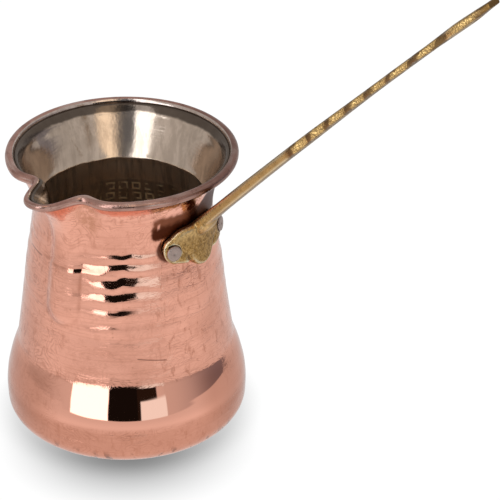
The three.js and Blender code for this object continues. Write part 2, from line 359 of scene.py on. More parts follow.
class Graph:
    """Adds nodes to one node tree and joins them up."""

    def __init__(self, tree: bpy.types.NodeTree) -> None:
        """Works on tree."""
        self.tree = tree

    @classmethod
    def emptied(cls, owner: bpy.types.ID) -> "Graph":
        """The graph of a material or a world, with nothing in it.

        Args:
            owner: The material or the world.

        Returns:
            The graph.
        """
        owner.use_nodes = True
        owner.node_tree.nodes.clear()
        return cls(owner.node_tree)

    def add(self, kind: str, settings: dict | None = None, **inputs: object) -> bpy.types.Node:
        """Adds one node.

        Args:
            kind: The node's type without its "ShaderNode".
            settings: The node's own settings.
            **inputs: Its inputs by name, with _ for a space. Each is a socket to join or a value.

        Returns:
            The node.
        """
        node = self.tree.nodes.new("ShaderNode" + kind)
        for name, value in (settings or {}).items():
            setattr(node, name, value)
        for name, value in inputs.items():
            self.feed(node.inputs[name.replace("_", " ")], value)
        return node

    def feed(self, socket: bpy.types.NodeSocket, value: object) -> None:
        """Joins value to a socket if it is one, and otherwise sets it.

        Args:
            socket: The input socket.
            value: An output socket, a number, a colour or a vector.
        """
        if isinstance(value, bpy.types.NodeSocket):
            self.tree.links.new(value, socket)
        else:
            socket.default_value = value

    def feed_in_order(self, node: bpy.types.Node, *values: object) -> bpy.types.Node:
        """Feeds a node's first inputs in their order.

        Args:
            node: The node.
            *values: A socket or a value for each input.

        Returns:
            The node.
        """
        for socket, value in zip(node.inputs, values):
            self.feed(socket, value)
        return node

    def math(self, operation: str, *values: Value, clamp: bool = False) -> bpy.types.NodeSocket:
        """One arithmetic step on sockets or numbers."""
        node = self.add("Math", {"operation": operation, "use_clamp": clamp})
        return self.feed_in_order(node, *values).outputs[0]

    def times(self, *values: Value) -> Value:
        """The product of sockets or numbers."""
        return reduce(lambda total, value: self.math("MULTIPLY", total, value), values)

    def plus(self, *values: Value) -> Value:
        """The sum of sockets or numbers."""
        return reduce(lambda total, value: self.math("ADD", total, value), values)

    def most(self, *values: Value) -> Value:
        """The greatest of sockets or numbers."""
        return reduce(lambda total, value: self.math("MAXIMUM", total, value), values)

    def total(self, *terms: tuple) -> Value:
        """The sum of terms, each the product of what it holds."""
        return self.plus(*(self.times(*term) for term in terms))

    def rest(self, share: Value) -> bpy.types.NodeSocket:
        """What a share leaves of 1."""
        return self.math("SUBTRACT", 1.0, share)

    def reach(self, across: Value, up: Value) -> bpy.types.NodeSocket:
        """How far away a point is that lies so far across and so far up."""
        return self.math("SQRT", self.total((across, across), (up, up)))

    def ramp(
        self, value: Value, start: float, end: float, before: float = 0.0, after: float = 1.0
    ) -> bpy.types.NodeSocket:
        """A soft S along a value.

        Args:
            value: The value that it runs along.
            start: Where the S starts.
            end: Where it ends, above or below its start.
            before: Its value at the start.
            after: Its value at the end.

        Returns:
            The S's value.
        """
        limits = {"From_Min": start, "From_Max": end, "To_Min": before, "To_Max": after}
        node = self.add("MapRange", {"interpolation_type": "SMOOTHSTEP"}, Value=value, **limits)
        return node.outputs["Result"]

    def hump(self, value: Value, middle: float, half_width: float, soft: float) -> bpy.types.NodeSocket:
        """1 within half_width of the middle and 0 further out, with a soft edge."""
        away = self.math("ABSOLUTE", self.math("SUBTRACT", value, middle))
        return self.ramp(away, half_width - soft, half_width + soft, 1.0, 0.0)

    def blend(self, share: Value, base: object, top: object) -> bpy.types.NodeSocket:
        """Two colours mixed, with share of top.

        Args:
            share: How much of top shows.
            base: The colour below, as a socket or a value.
            top: The colour above it.

        Returns:
            The mixed colour.
        """
        node = self.add("Mix", {"data_type": "RGBA"})
        for socket, value in zip((node.inputs[0], node.inputs[6], node.inputs[7]), (share, base, top)):
            self.feed(socket, value)
        return node.outputs[2]

    def coats(self, base: object, *coats: tuple) -> bpy.types.NodeSocket:
        """Lays coats of colour over a base.

        Args:
            base: The base colour.
            *coats: Each coat's colour, then the masks and the share whose product says how much of it shows.

        Returns:
            The colour with every coat on it.
        """
        for colour, *shares in coats:
            base = self.blend(self.times(*shares), base, colour)
        return base

    def vector(self, x: Value, y: Value, z: Value) -> bpy.types.NodeSocket:
        """A vector from its three parts."""
        return self.add("CombineXYZ", X=x, Y=y, Z=z).outputs[0]

    def split(self, vector: bpy.types.NodeSocket) -> tuple:
        """A vector's three parts."""
        return tuple(self.add("SeparateXYZ", Vector=vector).outputs)

    def vector_step(self, operation: str, *vectors: object) -> bpy.types.NodeSocket:
        """One step on vectors."""
        node = self.add("VectorMath", {"operation": operation})
        return self.feed_in_order(node, *vectors).outputs["Vector"]

    def stretched(self, vector: bpy.types.NodeSocket, x: float, y: float, z: float) -> bpy.types.NodeSocket:
        """A vector with each part times a number."""
        return self.vector_step("MULTIPLY", vector, (x, y, z))

    def noise(
        self, vector: Value, scale: Value, detail: float = 3.0, rough: float = 0.55, warp: float = 0.0
    ) -> bpy.types.NodeSocket:
        """Soft random values from 0 to 1."""
        settings = {"Scale": scale, "Detail": detail, "Roughness": rough, "Distortion": warp}
        return self.add("TexNoise", Vector=vector, **settings).outputs["Fac"]

    def use(self, group: bpy.types.NodeTree, **inputs: object) -> bpy.types.Node:
        """Places a node group with its own values.

        Args:
            group: The node group.
            **inputs: Its inputs by name.

        Returns:
            The node that holds the group.
        """
        node = self.tree.nodes.new("ShaderNodeGroup")
        node.node_tree = group
        for name, value in inputs.items():
            self.feed(node.inputs[name], value)
        return node

    def mask(self, group: bpy.types.NodeTree, **inputs: object) -> bpy.types.NodeSocket:
        """The first output of a node group placed with its own values."""
        return self.use(group, **inputs).outputs[0]

    def bump(self, height: Value, strength: float) -> bpy.types.NodeSocket:
        """A normal from a height in millimetres."""
        return self.add("Bump", Height=height, Strength=strength, Distance=MM).outputs["Normal"]

    def seen_as(self, seen: bpy.types.Node, mirrored: bpy.types.Node) -> bpy.types.NodeSocket:
        """A shader that the camera sees straight as one node, and that all else meets as another."""
        ways = self.add("LightPath").outputs["Is Camera Ray"], mirrored.outputs[0], seen.outputs[0]
        return self.feed_in_order(self.add("MixShader"), *ways).outputs[0]


def effect_group(name: str, inputs: dict, outputs: dict) -> tuple:
    """Starts a node group.

    Args:
        name: The group's name.
        inputs: The usual value of each number that the group takes besides a place, by name. A group with
            no such number takes no place either.
        outputs: Each output's socket type by name.

    Returns:
        The graph, the group's inputs in order, with the place first, and its output node.
    """
    tree = bpy.data.node_groups.new(name, "ShaderNodeTree")
    if inputs:
        tree.interface.new_socket("Place", in_out="INPUT", socket_type="NodeSocketVector")
    for label, usual in inputs.items():
        tree.interface.new_socket(label, in_out="INPUT", socket_type="NodeSocketFloat").default_value = usual
    for label, kind in outputs.items():
        tree.interface.new_socket(label, in_out="OUTPUT", socket_type="NodeSocket" + kind)
    given = tree.nodes.new("NodeGroupInput").outputs
    return Graph(tree), list(given)[: len(inputs) + 1], tree.nodes.new("NodeGroupOutput")


class Effects:
    """The effects that the finishes share, each a node group built once."""

    def __init__(self) -> None:
        """Builds every group."""
        self.place = self.build_place()
        self.grain_lines = self.build_grain_lines()
        self.turning = self.build_turning()
        self.pits = self.build_pits()
        self.blotches = self.build_blotches()

    @staticmethod
    def build_place() -> bpy.types.NodeTree:
        """Where a point is on the pot: its place in millimetres, its turn in degrees and its height.

        Returns:
            The node group.
        """
        outputs = {"Place": "Vector", "X": "Float", "Turn": "Float", "Height": "Float"}
        graph, _, out = effect_group("place_on_pot", {}, outputs)
        coordinates = graph.add("TexCoord").outputs["Object"]
        place = graph.stretched(coordinates, 1 / MM, 1 / MM, 1 / MM)
        x, y, z = graph.split(place)
        turn = graph.math("DEGREES", graph.math("ARCTAN2", y, x))
        graph.feed_in_order(out, place, x, turn, z)
        return graph.tree

    @staticmethod
    def build_grain_lines() -> bpy.types.NodeTree:
        """Thin wandering lines, like the contours that rolled and hammered metal shows.

        Returns:
            The node group.
        """
        inputs = {"Scale": 0.1, "Lines": 12.0, "Width": 0.12}
        graph, given, out = effect_group("grain_lines", inputs, {"Mask": "Float", "Height": "Float"})
        spot, scale, lines, width = given
        wide = graph.noise(spot, scale, 2.0, 0.45, 0.4)
        fine = graph.noise(spot, 0.9, 2.0, 0.5)
        away = graph.math("PINGPONG", graph.total((wide, lines), (fine, 0.35)), 0.5)
        line = graph.math("SUBTRACT", 1.0, graph.math("DIVIDE", away, width), clamp=True)
        patchy = graph.ramp(graph.noise(spot, 0.21, 2.0), 0.38, 0.6)
        mask = graph.times(line, patchy)
        graph.feed_in_order(out, mask, graph.times(mask, -1.0))
        return graph.tree

    @staticmethod
    def build_turning() -> bpy.types.NodeTree:
        """Fine rings left by turning or wiping round the pot.

        Returns:
            The node group.
        """
        inputs = {"Along": 0.05, "Across": 2.0}
        graph, (spot, along, across), out = effect_group("turning_rings", inputs, {"Value": "Float"})
        x, y, z = graph.split(spot)
        ringed = graph.vector(graph.times(x, along), graph.times(y, along), graph.times(z, across))
        graph.feed_in_order(out, graph.noise(ringed, 1.0, 3.0, 0.6))
        return graph.tree

    @staticmethod
    def build_pits() -> bpy.types.NodeTree:
        """Small dark pits and specks of uneven size.

        Returns:
            The node group.
        """
        inputs = {"Scale": 0.8, "Share": 0.5}
        graph, (spot, scale, share), out = effect_group("pits", inputs, {"Mask": "Float"})
        near = graph.add("TexVoronoi", {"feature": "F1"}, Vector=spot, Scale=scale).outputs["Distance"]
        size = graph.ramp(graph.noise(spot, 0.35, 2.0), 0.45, 0.75, 0.0, 0.42)
        graph.feed_in_order(out, graph.math("GREATER_THAN", graph.times(size, share), near))
        return graph.tree

    @staticmethod
    def build_blotches() -> bpy.types.NodeTree:
        """Cloudy patches of tarnish with an uneven edge.

        Returns:
            The node group.
        """
        inputs = {"Scale": 0.1, "Cover": 0.5, "Edge": 0.12}
        graph, (spot, scale, cover, edge), out = effect_group("tarnish_blotches", inputs, {"Mask": "Float"})
        above = graph.math("SUBTRACT", graph.noise(spot, scale, 5.0, 0.6, 0.3), graph.rest(cover))
        graph.feed_in_order(out, graph.math("DIVIDE", above, edge, clamp=True))
        return graph.tree


# ---------------------------------------------------------------------------------------------------
# Finishes


@dataclass(frozen=True)
class Finish:
    """A metal finish. Each kind of metal says what it looks like."""

    name: str
    effects: Effects

    def look(self, graph: Graph, place: dict) -> tuple:
        """What the metal looks like.

        Args:
            graph: The material's graph.
            place: The outputs of the place group by name.

        Returns:
            The colour, the roughness and the normal.
        """
        raise NotImplementedError

    def build(self) -> bpy.types.Material:
        """Builds the material.

        Returns:
            The material.
        """
        material = bpy.data.materials.new(self.name)
        graph = Graph.emptied(material)
        shader = graph.add("BsdfPrincipled", Metallic=1.0)
        graph.add("OutputMaterial", Surface=shader.outputs["BSDF"])
        look = self.look(graph, dict(graph.use(self.effects.place).outputs.items()))
        for socket, value in zip(("Base Color", "Roughness", "Normal"), look):
            graph.feed(shader.inputs[socket], value)
        return material


class Scratch(NamedTuple):
    """A scratch across the wall: its middle, half its turn and width, and how much it leans."""

    turn: float
    height: float
    half_turn: float
    half_width: float
    lean: float


@dataclass(frozen=True)
class HammeredCopper(Finish):
    """Polished copper, hammered in rows, with a mirror band round the belly."""

    metal: Colour = (0.9, 0.435, 0.315, 1.0)
    # Grain colour, used also for painted shade under and beside the belly and along the creases.
    grain_and_shade: Colour = (0.5, 0.2, 0.125, 1.0)
    line: Colour = (0.4, 0.145, 0.09, 1.0)
    # Darker brown, for the pinch beside the spout and for the pits.
    darker_brown: Colour = (0.55, 0.24, 0.14, 1.0)
    # Dark colour of nicks and scratches, also painting shade at the foot.
    nick_and_shade: Colour = (0.1, 0.035, 0.02, 1.0)
    # Painted shade: the dark reflection of the handle's shaded underside, and the shadow round the ear.
    painted_shade: Colour = (0.07, 0.014, 0.005, 1.0)
    painted_shade_pale: Colour = (0.21, 0.062, 0.026, 1.0)
    mirror_turns: Zone = Zone(-40.0, 48.0, 7.0)
    mirror_bottom: Fade = Fade(12.3, 14.1)
    mirror_top: Fade = Fade(25.4, 26.5, 1.0, 0.0)
    back_polish: float = 0.35
    neck: Fade = Fade(69.0, 71.5)
    pinch_turns: Zone = Zone(-72.0, 5.5, 4.5)
    pinch_heights: Fade = Fade(72.0, 79.0)
    foot_heights: Fade = Fade(7.0, 1.5)
    calm_turns: Zone = Zone(-62.0, 27.0, 8.0)
    calm_heights: Zone = Zone(49.0, 21.0, 3.0)
    handle_side: Fade = Fade(-50.0, -25.0)
    fewer_lines: Fade = Fade(-45.0, -20.0, 1.0, 0.3)
    low_rows: Fade = Fade(46.0, 38.0, 0.0, 0.16)
    # Painted shade below the belly.
    under_belly_shade: Fade = Fade(14.6, 11.0, 0.0, 0.52)
    # The belly band keeps its bright front turns and gets painted reflection of darker surroundings
    # elsewhere.
    bright_turns: Zone = Zone(-52.0, 41.0, 8.0)
    belly_heights: Zone = Zone(17.5, 8.0, 3.0)
    ripple_heights: Fade = Fade(41.0, 50.0, 0.045, 0.075)
    scratches: tuple = (Scratch(-37.3, 34.4, 8.0, 0.15, -0.1), Scratch(-119.0, 61.4, 8.0, 0.16, 0.0))
    scratch_soft_turn: float = 0.4
    scratch_soft: float = 0.14
    # Where the painted reflection of the handle's shaded underside lies on the wall, and how ragged its edges
    # are.
    handle_shade_turns: Zone = Zone(3.0, 36.0, 1.6)
    handle_shade_end: Fade = Fade(38.0, 24.0)
    handle_shade_bottom: Fade = Fade(71.0, 72.6)
    handle_shade_top: Fade = Fade(80.6, 78.2)
    handle_shade_core_top: Fade = Fade(77.4, 75.0)
    top_climb: Fade = Fade(0.0, 12.0, 0.0, 10.0)
    core_climb: Fade = Fade(-4.0, 14.0, 0.0, 14.0)
    ragged: float = 3.0
    # The painted shadow round the saddle's ear: its middle and its reach.
    ear_turn: float = 22.6
    ear_height: float = 67.8
    ear_shadow_reach: Fade = Fade(4.3, 3.3, 0.0, 0.9)
    mm_per_degree: float = 0.47
    # Where a painted glint of plain copper is left in the painted shade.
    glint_turns: Zone = Zone(-29.3, 0.8, 0.5)
    glint_heights: Zone = Zone(76.4, 0.9, 0.6)

    def look(self, graph: Graph, place: dict) -> tuple:
        """What the copper looks like.

        Args:
            graph: The material's graph.
            place: The outputs of the place group by name.

        Returns:
            The colour, the roughness and the normal.
        """
        effects = self.effects
        spot, turn, height = place["Place"], place["Turn"], place["Height"]
        front = graph.times(graph.hump(turn, *self.mirror_turns), 1 - self.back_polish)
        band = graph.ramp(height, *self.mirror_bottom), graph.ramp(height, *self.mirror_top)
        plain = graph.rest(graph.times(graph.plus(self.back_polish, front), *band))
        hammered = graph.times(plain, graph.rest(graph.ramp(height, *self.neck)))
        lines = graph.use(effects.grain_lines, Place=spot, Scale=0.085, Lines=26.0, Width=0.22).outputs
        flat_spot = graph.stretched(spot, 0.4, 0.4, 1.9)
        rows = graph.use(effects.grain_lines, Place=flat_spot, Scale=0.12, Lines=22.0, Width=0.2).outputs
        rings = graph.mask(effects.turning, Place=spot, Along=0.03, Across=1.3)
        cloud = graph.mask(effects.blotches, Place=spot, Scale=0.07, Cover=0.56, Edge=0.2)
        fleck = graph.mask(effects.blotches, Place=spot, Scale=0.33, Cover=0.46, Edge=0.1)
        tall_spot = graph.stretched(spot, 1.0, 1.0, 0.4)
        mottle = graph.mask(effects.blotches, Place=tall_spot, Scale=0.6, Cover=0.45, Edge=0.12)
        pits = graph.mask(effects.pits, Place=spot, Scale=0.55, Share=0.5)
        crease = graph.add("Attribute", {"attribute_name": CREASE}).outputs["Fac"]
        # Darker, rougher brown in the valley of the pinch beside the spout.
        darker_brown = graph.times(
            graph.hump(turn, *self.pinch_turns),
            graph.ramp(height, *self.pinch_heights),
            graph.ramp(graph.noise(spot, 0.4, 4.0), 0.35, 0.6),
        )
        # Dark nicks near the foot, laid on thickly enough to stand in also for painted shade: the mirrored
        # darker floor at the base.
        nicks_and_shade = graph.ramp(graph.noise(graph.stretched(spot, 1.0, 1.0, 0.5), 0.33, 4.0), 0.56, 0.62)
        foot = graph.times(graph.ramp(height, *self.foot_heights), nicks_and_shade)
        calm = graph.times(graph.hump(turn, *self.calm_turns), graph.hump(height, *self.calm_heights), 0.75)
        busy = graph.rest(calm)
        flank = graph.ramp(turn, *self.handle_side)
        lined = graph.times(busy, graph.ramp(turn, *self.fewer_lines))
        row_share = graph.total((lined, 0.12), (graph.ramp(height, *self.low_rows),))
        # Painted reflection: the belly band darker away from its bright front turns, standing in for darker
        # surroundings mirrored there.
        belly_side_shade = graph.rest(graph.hump(turn, *self.bright_turns)), graph.hump(height, *self.belly_heights)
        colour = graph.coats(
            self.metal,
            (self.grain_and_shade, cloud, plain, 0.25),
            (self.grain_and_shade, fleck, plain, 0.18),
            (self.line, lines["Mask"], plain, lined, 0.42),
            (self.line, rows["Mask"], hammered, row_share),
            (self.grain_and_shade, mottle, plain, busy, graph.total((0.42,), (flank, 0.2))),
            (self.grain_and_shade, graph.ramp(rings, 0.5, 0.6), plain, 0.15),
            (self.darker_brown, darker_brown, 0.7),
            (self.darker_brown, pits, plain, 0.5),
            # Painted shade along the channel's edge and the ring line.
            (self.grain_and_shade, crease, 0.85),
            # Painted shade: darker below the belly, standing in for the mirrored shade of the floor near the
            # pot.
            (self.grain_and_shade, graph.ramp(height, *self.under_belly_shade)),
            (self.grain_and_shade, *belly_side_shade, 0.48),
            (self.nick_and_shade, foot, 0.85),
            (self.nick_and_shade, self.scratched(graph, turn, height), 0.75),
        )
        # Painted shade behind the handle, which is also rougher there.
        colour, handle_shade_share = self.paint_shade_behind_handle(graph, colour, spot, turn, height)
        rough = graph.total((0.035,), (plain, 0.045), (darker_brown, 0.2), (cloud, plain, 0.06), (handle_shade_share, 0.35))
        ripple = graph.noise(graph.stretched(spot, 0.7, 0.7, 1.5), 0.8, 3.0, 0.5)
        relief = graph.total(
            (ripple, graph.ramp(height, *self.ripple_heights)),
            (lines["Height"], 0.03),
            (rows["Height"], hammered, 0.03),
            (rings, 0.02),
            (foot, -0.15),
            (mottle, 0.03),
        )
        return colour, rough, graph.bump(graph.times(relief, plain, busy), 0.6)

    def scratched(self, graph: Graph, turn: Value, height: Value) -> Value:
        """The fine scratches, each a short line across the wall.

        Args:
            graph: The material's graph.
            turn: The turn round the pot in degrees.
            height: The height in millimetres.

        Returns:
            1 in the scratches, 0 elsewhere.
        """
        lines = []
        for scratch in self.scratches:
            aside = graph.plus(turn, -scratch.turn)
            above = graph.plus(height, -scratch.height, graph.times(aside, -scratch.lean))
            within = graph.hump(aside, 0.0, scratch.half_turn, self.scratch_soft_turn)
            lines.append(graph.times(within, graph.hump(above, 0.0, scratch.half_width, self.scratch_soft)))
        return graph.most(*lines)

    def paint_shade_behind_handle(
        self, graph: Graph, colour: Value, spot: Value, turn: Value, height: Value
    ) -> tuple:
        """Darkens the wall behind the handle with painted shade: a painted reflection of the handle's shaded
        underside, a painted shadow round the ear, and a painted glint.

        Args:
            graph: The material's graph.
            colour: The wall's colour.
            spot: The place in millimetres.
            turn: The turn round the pot in degrees.
            height: The height in millimetres.

        Returns:
            The colour with the dark zone in it, and the zone's share.
        """
        uneven = graph.times(graph.plus(graph.noise(spot, 0.45, 4.0), -0.5), self.ragged)
        edge = graph.plus(height, uneven)
        top_edge = graph.math("SUBTRACT", edge, graph.ramp(turn, *self.top_climb))
        core_edge = graph.math("SUBTRACT", edge, graph.ramp(turn, *self.core_climb))
        handle_shade = graph.times(
            graph.ramp(edge, *self.handle_shade_bottom),
            graph.ramp(top_edge, *self.handle_shade_top),
            graph.hump(graph.total((turn,), (uneven, 2.0)), *self.handle_shade_turns),
            graph.ramp(turn, *self.handle_shade_end),
        )
        across = graph.times(graph.plus(turn, self.ear_turn), self.mm_per_degree)
        from_ear = graph.reach(across, graph.plus(height, -self.ear_height))
        painted_glint = graph.hump(turn, *self.glint_turns), graph.hump(edge, *self.glint_heights)
        darkened = graph.coats(
            colour,
            # A pale and a dark painted reflection of the handle's shaded underside.
            (self.painted_shade_pale, handle_shade, 0.93),
            (self.painted_shade, handle_shade, graph.ramp(core_edge, *self.handle_shade_core_top), 0.93),
            # A painted shadow round the saddle's ear.
            (self.painted_shade, graph.ramp(from_ear, *self.ear_shadow_reach)),
            # A painted glint: plain copper left in the dark zone, standing in for a reflected highlight.
            (self.metal, *painted_glint, 0.9),
        )
        return darkened, handle_shade


@dataclass(frozen=True)
class LipCopper(Finish):
    """The rolled lip: copper left browner and duller than the wall."""

    metal: Colour = (0.46, 0.25, 0.2, 1.0)
    dark: Colour = (0.1, 0.042, 0.031, 1.0)
    pale: Colour = (0.6, 0.43, 0.37, 1.0)
    browner_turns: Zone = Zone(35.0, 55.0, 20.0)

    def look(self, graph: Graph, place: dict) -> tuple:
        """What the lip looks like.

        Args:
            graph: The material's graph.
            place: The outputs of the place group by name.

        Returns:
            The colour, the roughness and the normal.
        """
        spot = place["Place"]
        cloud = graph.mask(self.effects.blotches, Place=spot, Scale=0.22, Cover=0.52, Edge=0.25)
        rings = graph.mask(self.effects.turning, Place=spot, Along=0.12, Across=2.2)
        pits = graph.mask(self.effects.pits, Place=spot, Scale=1.3, Share=0.7)
        colour = graph.coats(
            self.metal,
            (self.dark, cloud, 0.5),
            (self.pale, graph.ramp(rings, 0.48, 0.7, 0.0, 0.7)),
            (self.dark, graph.hump(place["Turn"], *self.browner_turns), 0.55),
            (self.dark, pits, 0.7),
        )
        skin = graph.total((graph.noise(spot, 1.6, 4.0), 0.08), (pits, -0.05))
        return colour, graph.total((0.24,), (cloud, 0.16)), graph.bump(skin, 0.7)


@dataclass(frozen=True)
class WipedTin(Finish):
    """Tin wiped on by hand: warm grey streaks above the neck, and coffee-brown below it.

    The funnel's reflections are tilted in proportion to the height, as on a straighter funnel.
    """

    metal: Colour = (0.62, 0.49, 0.39, 1.0)
    dull: Colour = (0.34, 0.26, 0.2, 1.0)
    stain: Colour = (0.63, 0.48, 0.35, 1.0)
    # Dark colour for real stain streaks, and for painted shade and reflection.
    dark_stain_and_shade: Colour = (0.07, 0.05, 0.038, 1.0)
    # Bright colour of the hammer marks' ridges: a painted highlight.
    mark_highlight: Colour = (1.0, 0.86, 0.62, 1.0)
    waviness: float = 1.6
    stain_top: Fade = Fade(72.95, 72.25)
    # Painted reflection: a dark band under the lip.
    band_low: float = 85.8
    band_soft: float = 0.7
    # Painted shadow in the spout's throat.
    throat_turns: Zone = Zone(-92.5, 20.0, 5.0)
    throat_heights: Fade = Fade(86.0, 80.0)
    square_pitch: float = 1.9
    square_line: Zone = Zone(0.85, 0.3, 0.2)
    squares_start: float = 0.3
    squares_mm_per_degree: float = 0.43
    squares_heights: Zone = Zone(60.5, 4.2, 0.8)
    squares_turns: Zone = Zone(115.0, 28.0, 10.0)
    flared_from: float = 84.9
    tilt_rate: float = 0.052

    def look(self, graph: Graph, place: dict) -> tuple:
        """What the tin looks like.

        Args:
            graph: The material's graph.
            place: The outputs of the place group by name.

        Returns:
            The colour, the roughness and the normal.
        """
        effects = self.effects
        spot, turn, height = place["Place"], place["Turn"], place["Height"]
        waves = graph.times(graph.noise(spot, 0.13, 3.0), self.waviness)
        wavy_height = graph.plus(height, waves, -self.waviness / 2)
        stained = graph.ramp(wavy_height, *self.stain_top)
        band = graph.ramp(wavy_height, self.band_low, self.band_low + self.band_soft)
        streaks = graph.noise(graph.stretched(spot, 0.9, 0.9, 0.12), 0.55, 4.0, 0.6)
        rings = graph.mask(effects.turning, Place=spot, Along=0.05, Across=1.8)
        cloud = graph.mask(effects.blotches, Place=spot, Scale=0.11, Cover=0.55, Edge=0.25)
        pits = graph.mask(effects.pits, Place=spot, Scale=0.6, Share=0.45)
        row = graph.math("PINGPONG", graph.plus(height, self.squares_start), self.square_pitch)
        column = graph.math("PINGPONG", graph.times(turn, self.squares_mm_per_degree), self.square_pitch)
        struck = graph.times(graph.hump(height, *self.squares_heights), graph.hump(turn, *self.squares_turns))
        marks = graph.times(
            graph.hump(graph.math("MINIMUM", row, column), *self.square_line),
            struck,
            graph.ramp(graph.noise(spot, 0.3, 3.0), 0.42, 0.56),
        )
        throat = graph.hump(turn, *self.throat_turns), graph.ramp(height, *self.throat_heights)
        colour = graph.coats(
            self.metal,
            (self.dull, graph.ramp(streaks, 0.42, 0.62, 0.0, 0.4)),
            (self.dull, cloud, 0.35),
            (self.stain, pits, 0.5),
            # Painted reflection: the dark band under the lip, where the groove mirrors darker surroundings.
            (self.dark_stain_and_shade, band, 0.88),
            # Painted shadow in the spout's throat.
            (self.dark_stain_and_shade, *throat, 0.85),
            (self.stain, stained, 0.93),
            (self.dark_stain_and_shade, graph.ramp(streaks, 0.45, 0.62), stained, 0.35),
            # Painted shade between the hammer marks and a painted highlight on their ridges; the marks' shape
            # is real.
            (self.dark_stain_and_shade, struck, stained, 0.38),
            (self.mark_highlight, marks, stained, 0.95),
        )
        rough = graph.total((0.07,), (streaks, 0.1), (stained, 0.3), (cloud, 0.08))
        skin = graph.total(
            (streaks, 0.03), (rings, 0.03), (graph.noise(spot, 1.2, 3.0), 0.03), (marks, stained, 0.12)
        )
        above_flare = graph.math("SUBTRACT", self.flared_from, height)
        tilt = graph.vector(0.0, 0.0, graph.times(above_flare, self.tilt_rate, graph.rest(stained)))
        tilted = graph.vector_step("ADD", graph.bump(skin, 0.7), tilt)
        return colour, rough, graph.vector_step("NORMALIZE", tilted)


@dataclass(frozen=True)
class CastBrass(Finish):
    """Cast brass: grainy on its faces, polished pale on its edges, with hatched gold patches up the stem.

    The stem's patches and ends are given by their distance from the pot's axis.
    """

    metal: Colour = (0.35, 0.19, 0.052, 1.0)
    bright: Colour = (0.8, 0.53, 0.23, 1.0)
    stem_metal: Colour = (0.46, 0.26, 0.096, 1.0)
    hollow: Colour = (0.11, 0.06, 0.025, 1.0)
    gold: Colour = (0.86, 0.56, 0.22, 1.0)
    cream: Colour = (0.85, 0.74, 0.52, 1.0)
    patches: tuple = (66.5, 72.6, 78.8, 85.7, 92.5, 98.7, 107.0, 117.5)
    patch_half_length: float = 2.1
    patch_soft: float = 0.4
    leaf: Zone = Zone(117.5, 4.3, 1.0)
    stem_start: Fade = Fade(32.5, 36.0)
    worked_start: Fade = Fade(61.0, 63.5)
    tip_start: Fade = Fade(122.5, 124.5)
    saddle_lighter_upwards: Fade = Fade(68.5, 73.0, 0.0, 0.7)
    hollow_corner: Fade = Fade(0.492, 0.47)
    sharp_corner: Fade = Fade(0.505, 0.535)
    seen_wide: Fade = Fade(0.86, 0.5)
    hatch_slope: float = 0.8
    hatch_pitch: float = 0.55
    cross_slope: float = -1.3
    cross_pitch: float = 0.7

    def look(self, graph: Graph, place: dict) -> tuple:
        """What the brass looks like.

        Args:
            graph: The material's graph.
            place: The outputs of the place group by name.

        Returns:
            The colour, the roughness and the normal.
        """
        effects = self.effects
        spot, x, height = place["Place"], place["X"], place["Height"]
        along = graph.plus(x, graph.times(graph.plus(graph.noise(spot, 0.7, 3.0), -0.5), 4.5))
        zones = [Zone(middle, self.patch_half_length, self.patch_soft) for middle in self.patches]
        patch = graph.most(*(graph.hump(along, *zone) for zone in (*zones, self.leaf)))
        worked = graph.ramp(x, *self.worked_start)
        gaps = graph.times(worked, graph.rest(patch))
        bent = graph.plus(x, graph.times(graph.noise(spot, 0.5, 3.0), 5.0))
        hatch = graph.math("PINGPONG", graph.total((bent,), (height, self.hatch_slope)), self.hatch_pitch)
        cross = graph.math("PINGPONG", graph.total((bent,), (height, self.cross_slope)), self.cross_pitch)
        lines = graph.most(graph.ramp(hatch, 0.2, 0.06), graph.ramp(cross, 0.16, 0.04))
        hatched = graph.times(lines, patch, worked)
        grains = graph.ramp(graph.noise(spot, 1.7, 4.0, 0.7), 0.42, 0.6)
        cloud = graph.mask(effects.blotches, Place=spot, Scale=0.16, Cover=0.5, Edge=0.25)
        pits = graph.mask(effects.pits, Place=spot, Scale=1.4, Share=0.8)
        patina = graph.mask(effects.blotches, Place=spot, Scale=1.1, Cover=0.53, Edge=0.16)
        surface = graph.add("NewGeometry").outputs
        edge = graph.ramp(surface["Pointiness"], *self.sharp_corner)
        facing = graph.math("ABSOLUTE", graph.split(surface["Normal"])[1])
        stem = graph.ramp(x, *self.stem_start)
        colour = graph.coats(
            self.metal,
            (self.bright, grains, 0.45),
            # Lighter from the saddle's middle upwards.
            (self.bright, graph.ramp(height, *self.saddle_lighter_upwards)),
            (self.stem_metal, stem, 0.75),
            (self.hollow, cloud, 0.35),
            (self.hollow, patina, 0.5, graph.rest(stem)),
            # Darker in concave corners: patina in the hollows, with painted shade.
            (self.hollow, graph.ramp(surface["Pointiness"], *self.hollow_corner), 0.75),
            (self.hollow, pits, 0.6),
            (self.gold, patch, worked, 0.85),
            # Darker between the stem's lobes: patina, with painted shade.
            (self.hollow, gaps, 0.72),
            (self.hollow, hatched, 0.6),
            (self.cream, edge, 0.75, graph.rest(worked)),
            (self.metal, graph.ramp(x, *self.tip_start), 0.6),
            (self.hollow, stem, graph.ramp(facing, *self.seen_wide), 0.6),
        )
        rough = graph.total((0.4,), (grains, -0.08), (edge, -0.18), (gaps, 0.1))
        coarse = graph.noise(spot, 1.9, 4.0, 0.6)
        skin = graph.total((coarse, 0.16), (pits, -0.08), (hatched, -0.16), (patch, worked, 0.12))
        return colour, rough, graph.bump(skin, 0.8)


